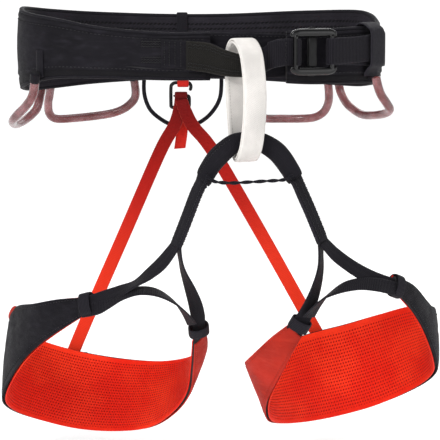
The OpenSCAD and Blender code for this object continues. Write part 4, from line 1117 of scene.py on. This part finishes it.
# Each strand: its two offsets, and its stations as centre and half width
strands = {
    "left_yoke": (-2, 2, [
        (6.6, -96.2, -86, -4.2, 0.8, 4.8), (3.6, -95.2, -91.4, -4.2, 3, 3.8),
        (1.7, -95, -95.1, -3.6, 5.4, 1.9), (-2.5, -95.2, -104, -3.7, 5.4, 1.8),
        (-8, -96, -118.5, -3.7, 5.5, 1.6), (-13.2, -97, -132, -3.7, 5.6, 1.5),
        (-18.4, -98, -145, -3.6, 5.7, 1.4)]),
    "left_outer_strand": (-0.9, 0.9, [
        (-18.8, -97.9, -144.4, -3.3, 5.5, 1.6), (-29, -96.5, -158, -3.3, 5.4, 3.2),
        (-40, -94.5, -168, -2.4, 6.4, 2.8), (-51, -91.5, -176, -1, 7, 1.5), (-63, -88.5, -182.5, -0.5, 6, 4),
        (-75, -85.5, -188.5, 0, 3.2, 6.4), (-88, -82.4, -194, 0, 0.6, 7.2),
        (-97, -78.4, -197.5, 0, 0.4, 7.2)]),
    "left_inner_strand": (0.1, 1.9, [
        (-17.4, -98.4, -143.6, -2.2, 6.2, 1), (-15.6, -98, -156, -1.6, 6.8, 0.5),
        (-13, -94, -167, -2.6, 6.4, 0), (-8, -87, -181, -4.4, 5.2, -1), (-3.6, -78, -195, -5.4, 3.6, -2.2),
        (-0.8, -68, -209, -5.4, 2.2, -3.4), (0, -59, -221, -4.8, 1.8, -4.8),
        (0.6, -50, -229, -4.2, 1.6, -6)]),
    "left_cross_strap": (-0.8, 0.8, [
        (-94, -82.2, -199.5, 0, 0.4, 5.6), (-80, -87.4, -196, 0, 2.6, 5), (-70, -91, -190.5, 0.6, 4.4, 4.2),
        (-60, -93.6, -184.8, 0.6, 5.4, 3.2), (-47, -95.4, -181, 0.4, 5.8, 2.6),
        (-33, -94.6, -182.8, -0.8, 5.8, 2.4), (-20, -89.6, -191, -2.2, 5.2, 1.8),
        (-11, -81.6, -202, -3.4, 4.4, 0.4), (-6, -73, -212, -3.8, 3.6, -1)]),
    "right_yoke": (-2, 2, [
        (73.4, -93.8, -86.4, 4.4, 0.8, 4.2), (76.2, -94.8, -90.9, 4.2, 3, 3.2), (78, -95, -94.4, 3.6, 5.4, 2),
        (82, -95.3, -103.5, 3.7, 5.4, 2), (88, -96.2, -117, 3.7, 5.5, 1.9),
        (93.4, -97.2, -130, 3.7, 5.6, 1.8), (97.8, -98, -141, 3.7, 5.7, 1.6)]),
    "right_outer_strand": (-1.9, -0.1, [
        (98.8, -97.8, -140.2, 3, 5.6, 2), (108, -96.8, -150.5, 2.2, 4.6, 4.2),
        (117, -95.4, -158, 1.6, 3.6, 5), (127, -92.4, -165, 1.2, 3.2, 5.4), (138, -87.6, -171.6, 1, 2.6, 5.8),
        (148, -82, -176.6, 0.8, 1.8, 6.2), (158, -75.6, -181, 0.6, 1.2, 6.6),
        (165, -68.4, -184.4, 0.4, 1, 6.8)]),
    "right_inner_strand": (-1.9, -0.1, [
        (97.4, -98.8, -139.6, 2.4, 6.2, 0.8), (97.6, -98.9, -152, 2, 6.6, 0.3),
        (97.4, -98, -162, 2.6, 6.4, 0), (95.6, -95.4, -173, 3.6, 5.8, -0.4),
        (92, -91.6, -186, 4.6, 4.8, -1.4), (87, -87.2, -199, 5.2, 3.2, -3), (81, -82.6, -210.4, 5, 2, -4.6),
        (74.6, -77, -219.4, 4.6, 2, -6)]),
    "right_cross_strap": (-0.8, 0.8, [
        (88, -86.6, -203.5, 4.8, 3.4, -0.6), (93.4, -91.8, -194.6, 4.4, 4.4, 0.8),
        (101.4, -96, -185.4, 3.4, 4.8, 2), (113, -98.4, -178.4, 1.6, 4.8, 3.6),
        (127, -98, -175.2, 0, 4.8, 4.2), (141, -92.2, -176.6, -0.4, 4, 5),
        (152, -84.6, -179.8, -0.4, 2.4, 5.6), (160.6, -77.4, -183.4, -0.4, 1.2, 5.8)])}
strand_bands = {}
for node, (lo, hi, rows) in strands.items():
    strand_bands[node] = Band(smooth(from_mid(rows), 9))
    look = FINE_STRAP_LOOK if "cross" in node else STRAP_LOOK
    sewn(f"{node}_webbing", strand_bands[node], lo, hi, look, node, 8, 7)

rolled = np.array([row[0] for row in left_pad[9 * STEP - 2:10 * STEP - 1]]) + [-1.0, 0, 0.4]
rod("left_lining_rolled_edge", rolled, 2.3, RED_PANEL_LOOK, [], 12, 7, "left_leg")


def leg_keeper(place, at, along, across, wide, deep, length):
    """Elastic ring round the strands at a pad's corner."""
    at, t = np.array(at), unit(along)
    w = unit(np.array(across) - t * np.dot(across, t))
    n = np.cross(t, w)
    ring = []
    for a in range(15, 375, 15):
        g = math.radians(a)
        x, y = (float(spow(v, BELT_POWER)) for v in (math.cos(g), math.sin(g)))
        c = at + w * wide * x + n * deep * y
        ring.append([c - t * length / 2, c + t * length / 2])
    sewn(f"{place}_elastic_keeper", Band(smooth(ring, 2, ring=True), closed=True), -0.5, 0.55,
         (KEEPER, "charcoal_elastic"), f"{place}_keeper", 8)


for keeper in (("left_outer", [-90, -79.6, -194.6], [-10, 4, -3], [0.1, 0.3, 1], 9.2, 6.2, 10),
               ("left_inner", [-0.6, -61, -218.4], [0.6, 8, -10], [-0.72, 0.1, -0.6], 8.2, 5.4, 10),
               ("right_outer", [158.6, -74.6, -180.6], [8, 7, -4], [0.1, 0.3, 1], 9, 6, 9),
               ("right_inner", [80.8, -81.6, -210.6], [-6, 4.4, -11], [0.74, 0.2, -0.62], 8.2, 5.4, 10)):
    leg_keeper(*keeper)

# Pockets for the risers' lower ends: (along, out) of the patch's middle line
POCKET_LINE = ([-15, 0], [-12.8, 0.5], [-11.6, 8.6], [0, 9.4], [11.6, 8.6], [12.8, 0.5], [15, 0])
POCKET_HALF = 7
for side, at, slope, face_y in (("left", [-113, -272], 0, 81.6), ("right", [108.6, -258.5], 20, 78.8)):
    c, s = math.cos(math.radians(slope)), math.sin(math.radians(slope))
    rows = [[[at[0] + c * x - s * h, face_y + y, at[1] + s * x + c * h] for h in (POCKET_HALF, -POCKET_HALF)]
            for x, y in POCKET_LINE]
    sewn(f"{side}_riser_pocket_cloth", Band(smooth(rows, 3)), -0.55, 0.55, PATCH_LOOK,
         f"{side}_riser_pocket", 7)

# ---------------------------------------------------------------- sewing
def skin_over(thickness):
    """Height of a pad's outer skin above its middle, at a share across."""
    return lambda along, s: float(foam_half(thickness, np.array(s))) + GAP + SKIN


waist_thread, on_skin = Thread(), skin_over(BELT_T)
belt_end = belt.L[-1] - 4
waist_thread.seam(belt, (6, 0.165), (belt_end, 0.165), 0.05, 3.4, 0.62, crown=on_skin, r=0.26)
waist_thread.seam(belt, (6, 0.9), (belt_end, 0.9), 0.0, 3.4, 0.62, crown=on_skin, r=0.24)
for x in (-26.5, -22.5, -18.5, -14.5):
    at = tie_in.near((x, -84, 7))[0]
    waist_thread.seam(tie_in, (at, 0.94), (at, 0.06), 0.02, 1.9, 0.75, r=0.32)
for x in (70.4, 73.4):
    at = anchor.near((x, -82, 18))[0]
    waist_thread.seam(anchor, (at, 0.12), (at, 0.88), 2.05, 1.9, 0.75, 0.3, 0.3)
for s in (0.13, 0.24, 0.78, 0.88):
    waist_thread.seam(sleeve_part, (1.5, s), (sleeve_part.L[-1] - 1, s), 1.72, 2.1, 0.85, 0.55, 0.3)
waist_thread.seam(tongue, (4, 0.93), (tongue.L[-1] - 4, 0.93), 0.95, 3.2, 0.6, r=0.25)
waist_thread.piece("waist_stitching", *SEWING, "waist")
tack_thread = Thread()
for z in (14.3, 1.8):
    for row in (z - 1.9, z, z + 1.9):
        tack_thread.seam(belt, belt.near((-46.6, -79, row)), belt.near((-28.3, -79, row)), 0.15, 1.15, 0.95,
                         0.85, 0.34, on_skin)
tack_thread.piece("front_bar_tacks", *SEWING, "waist")

belay_thread = Thread()
for s in (0.12, 0.88):
    belay_thread.seam(belay, (2, s), (belay.L[-1] - 1, s), LAYER_T + 0.06, 2.6, 0.62, 0, 0.3)
bottom = belay.near(in_belay(-BELAY_R, 0, BELAY_LOW))[0]
for s in (0.26, 0.42, 0.58, 0.74):
    belay_thread.seam(belay, (bottom - 26, s), (bottom + 12, s), LAYER_T + 0.06, 1.7, 0.9, 0.75, 0.3)
belay_thread.piece("belay_loop_stitching", WHITE_THREAD, "white_webbing", "belay")

bridge_thread = Thread()
for s, out in ((0.8, 3.6), (0.92, 2.7)):
    bridge_thread.seam(bridge, (3, s), (bridge.L[-1] * 0.36, s), out, 2.0, 0.75, 0.5, 0.28)
bridge_thread.piece("bridge_stitching", *SEWING, "bridge")

for side, (whole, outer, thigh) in leg_bands.items():
    leg_thread, red_row = Thread(), Thread()
    yoke = strand_bands[f"{side}_yoke"]
    for s in (0.12, 0.5, 0.88):
        for face in (2.0, -2.0):
            leg_thread.seam(yoke, (3, s), (yoke.L[-1] - 3, s), face, 2.1, 0.8, 0.5, 0.27)
    for band, row in ((outer, leg_thread), (thigh, red_row)):
        for s in (0.09, 0.91):
            row.seam(band, (3, s), (band.L[-1] - 3, s), -0.15, 3.0, 0.62, r=0.22, crown=skin_over(LEG_T))
    leg_thread.piece(f"{side}_leg_stitching", *SEWING, f"{side}_leg")
    red_row.piece(f"{side}_leg_red_stitching", RED_THREAD, "red_fabric", f"{side}_leg")

# ---------------------------------------------------------------- floor and light
FLOOR_Z = cad_box[0][2] - 0.012
FLOOR_GLOW, BACKDROP_GLOW = 0.4, 0.92


def plain_stage(name, glow, shade, profile, sides=64):
    """A round studio: profile rows are (radius, height) in metres."""
    points = [(r * math.cos(TAU * k / sides), r * math.sin(TAU * k / sides), FLOOR_Z + z)
              for r, z in profile for k in range(sides)]
    faces = rod_faces(len(profile), sides)[:-2]
    mesh = bpy.data.meshes.new(name)
    mesh.from_pydata(points, [], faces)
    mesh.polygons.foreach_set("use_smooth", [True] * len(faces))
    obj = bpy.data.objects.new(name, mesh)
    bpy.context.scene.collection.objects.link(obj)
    g = Graph(f"{name}_paint", Roughness=0.8, Emission_Strength=glow)
    g.shader.inputs["Emission Color"].default_value = (1, 1, 1, 1)
    g.color(g.blend(g.noise(3, 2), (shade,) * 3, (shade + 0.02,) * 3))
    mesh.materials.append(g.material)


plain_stage("floor", FLOOR_GLOW, 0.9, [(0.0002, 0), (0.6, 0), (1.3, 0)])
plain_stage("backdrop", BACKDROP_GLOW, 0.3,
            [(1.3, 0), (3.2, 0), (7.4, 0), (8.2, 0.12), (8.7, 0.5), (8.8, 1), (8.8, 1.8)])


def area_light(name, place, size, energy):
    data = bpy.data.lights.new(name, "AREA")
    data.shape = "RECTANGLE"
    data.size, data.size_y = size
    data.energy = energy
    obj = bpy.data.objects.new(name, data)
    obj.location = place
    obj.rotation_euler = (AIM - Vector(place)).to_track_quat("-Z", "Y").to_euler()
    bpy.context.scene.collection.objects.link(obj)


area_light("key", (-0.75, -1.5, 0.95), (0.6, 0.6), 23)
area_light("fill", (1.35, -1.2, 0.1), (1.0, 1.2), 4)
area_light("top", (0.1, -0.1, 1.3), (1.2, 1.0), 10)
area_light("rear", (0.2, 1.25, 0.5), (1.6, 0.8), 7)
world = bpy.data.worlds.new("studio")
world.use_nodes = True
sky = world.node_tree.nodes["Background"].inputs
sky["Color"].default_value = (1, 1, 1, 1)
sky["Strength"].default_value = 0.26
bpy.context.scene.world = world
bpy.context.scene.view_settings.view_transform = "Standard"
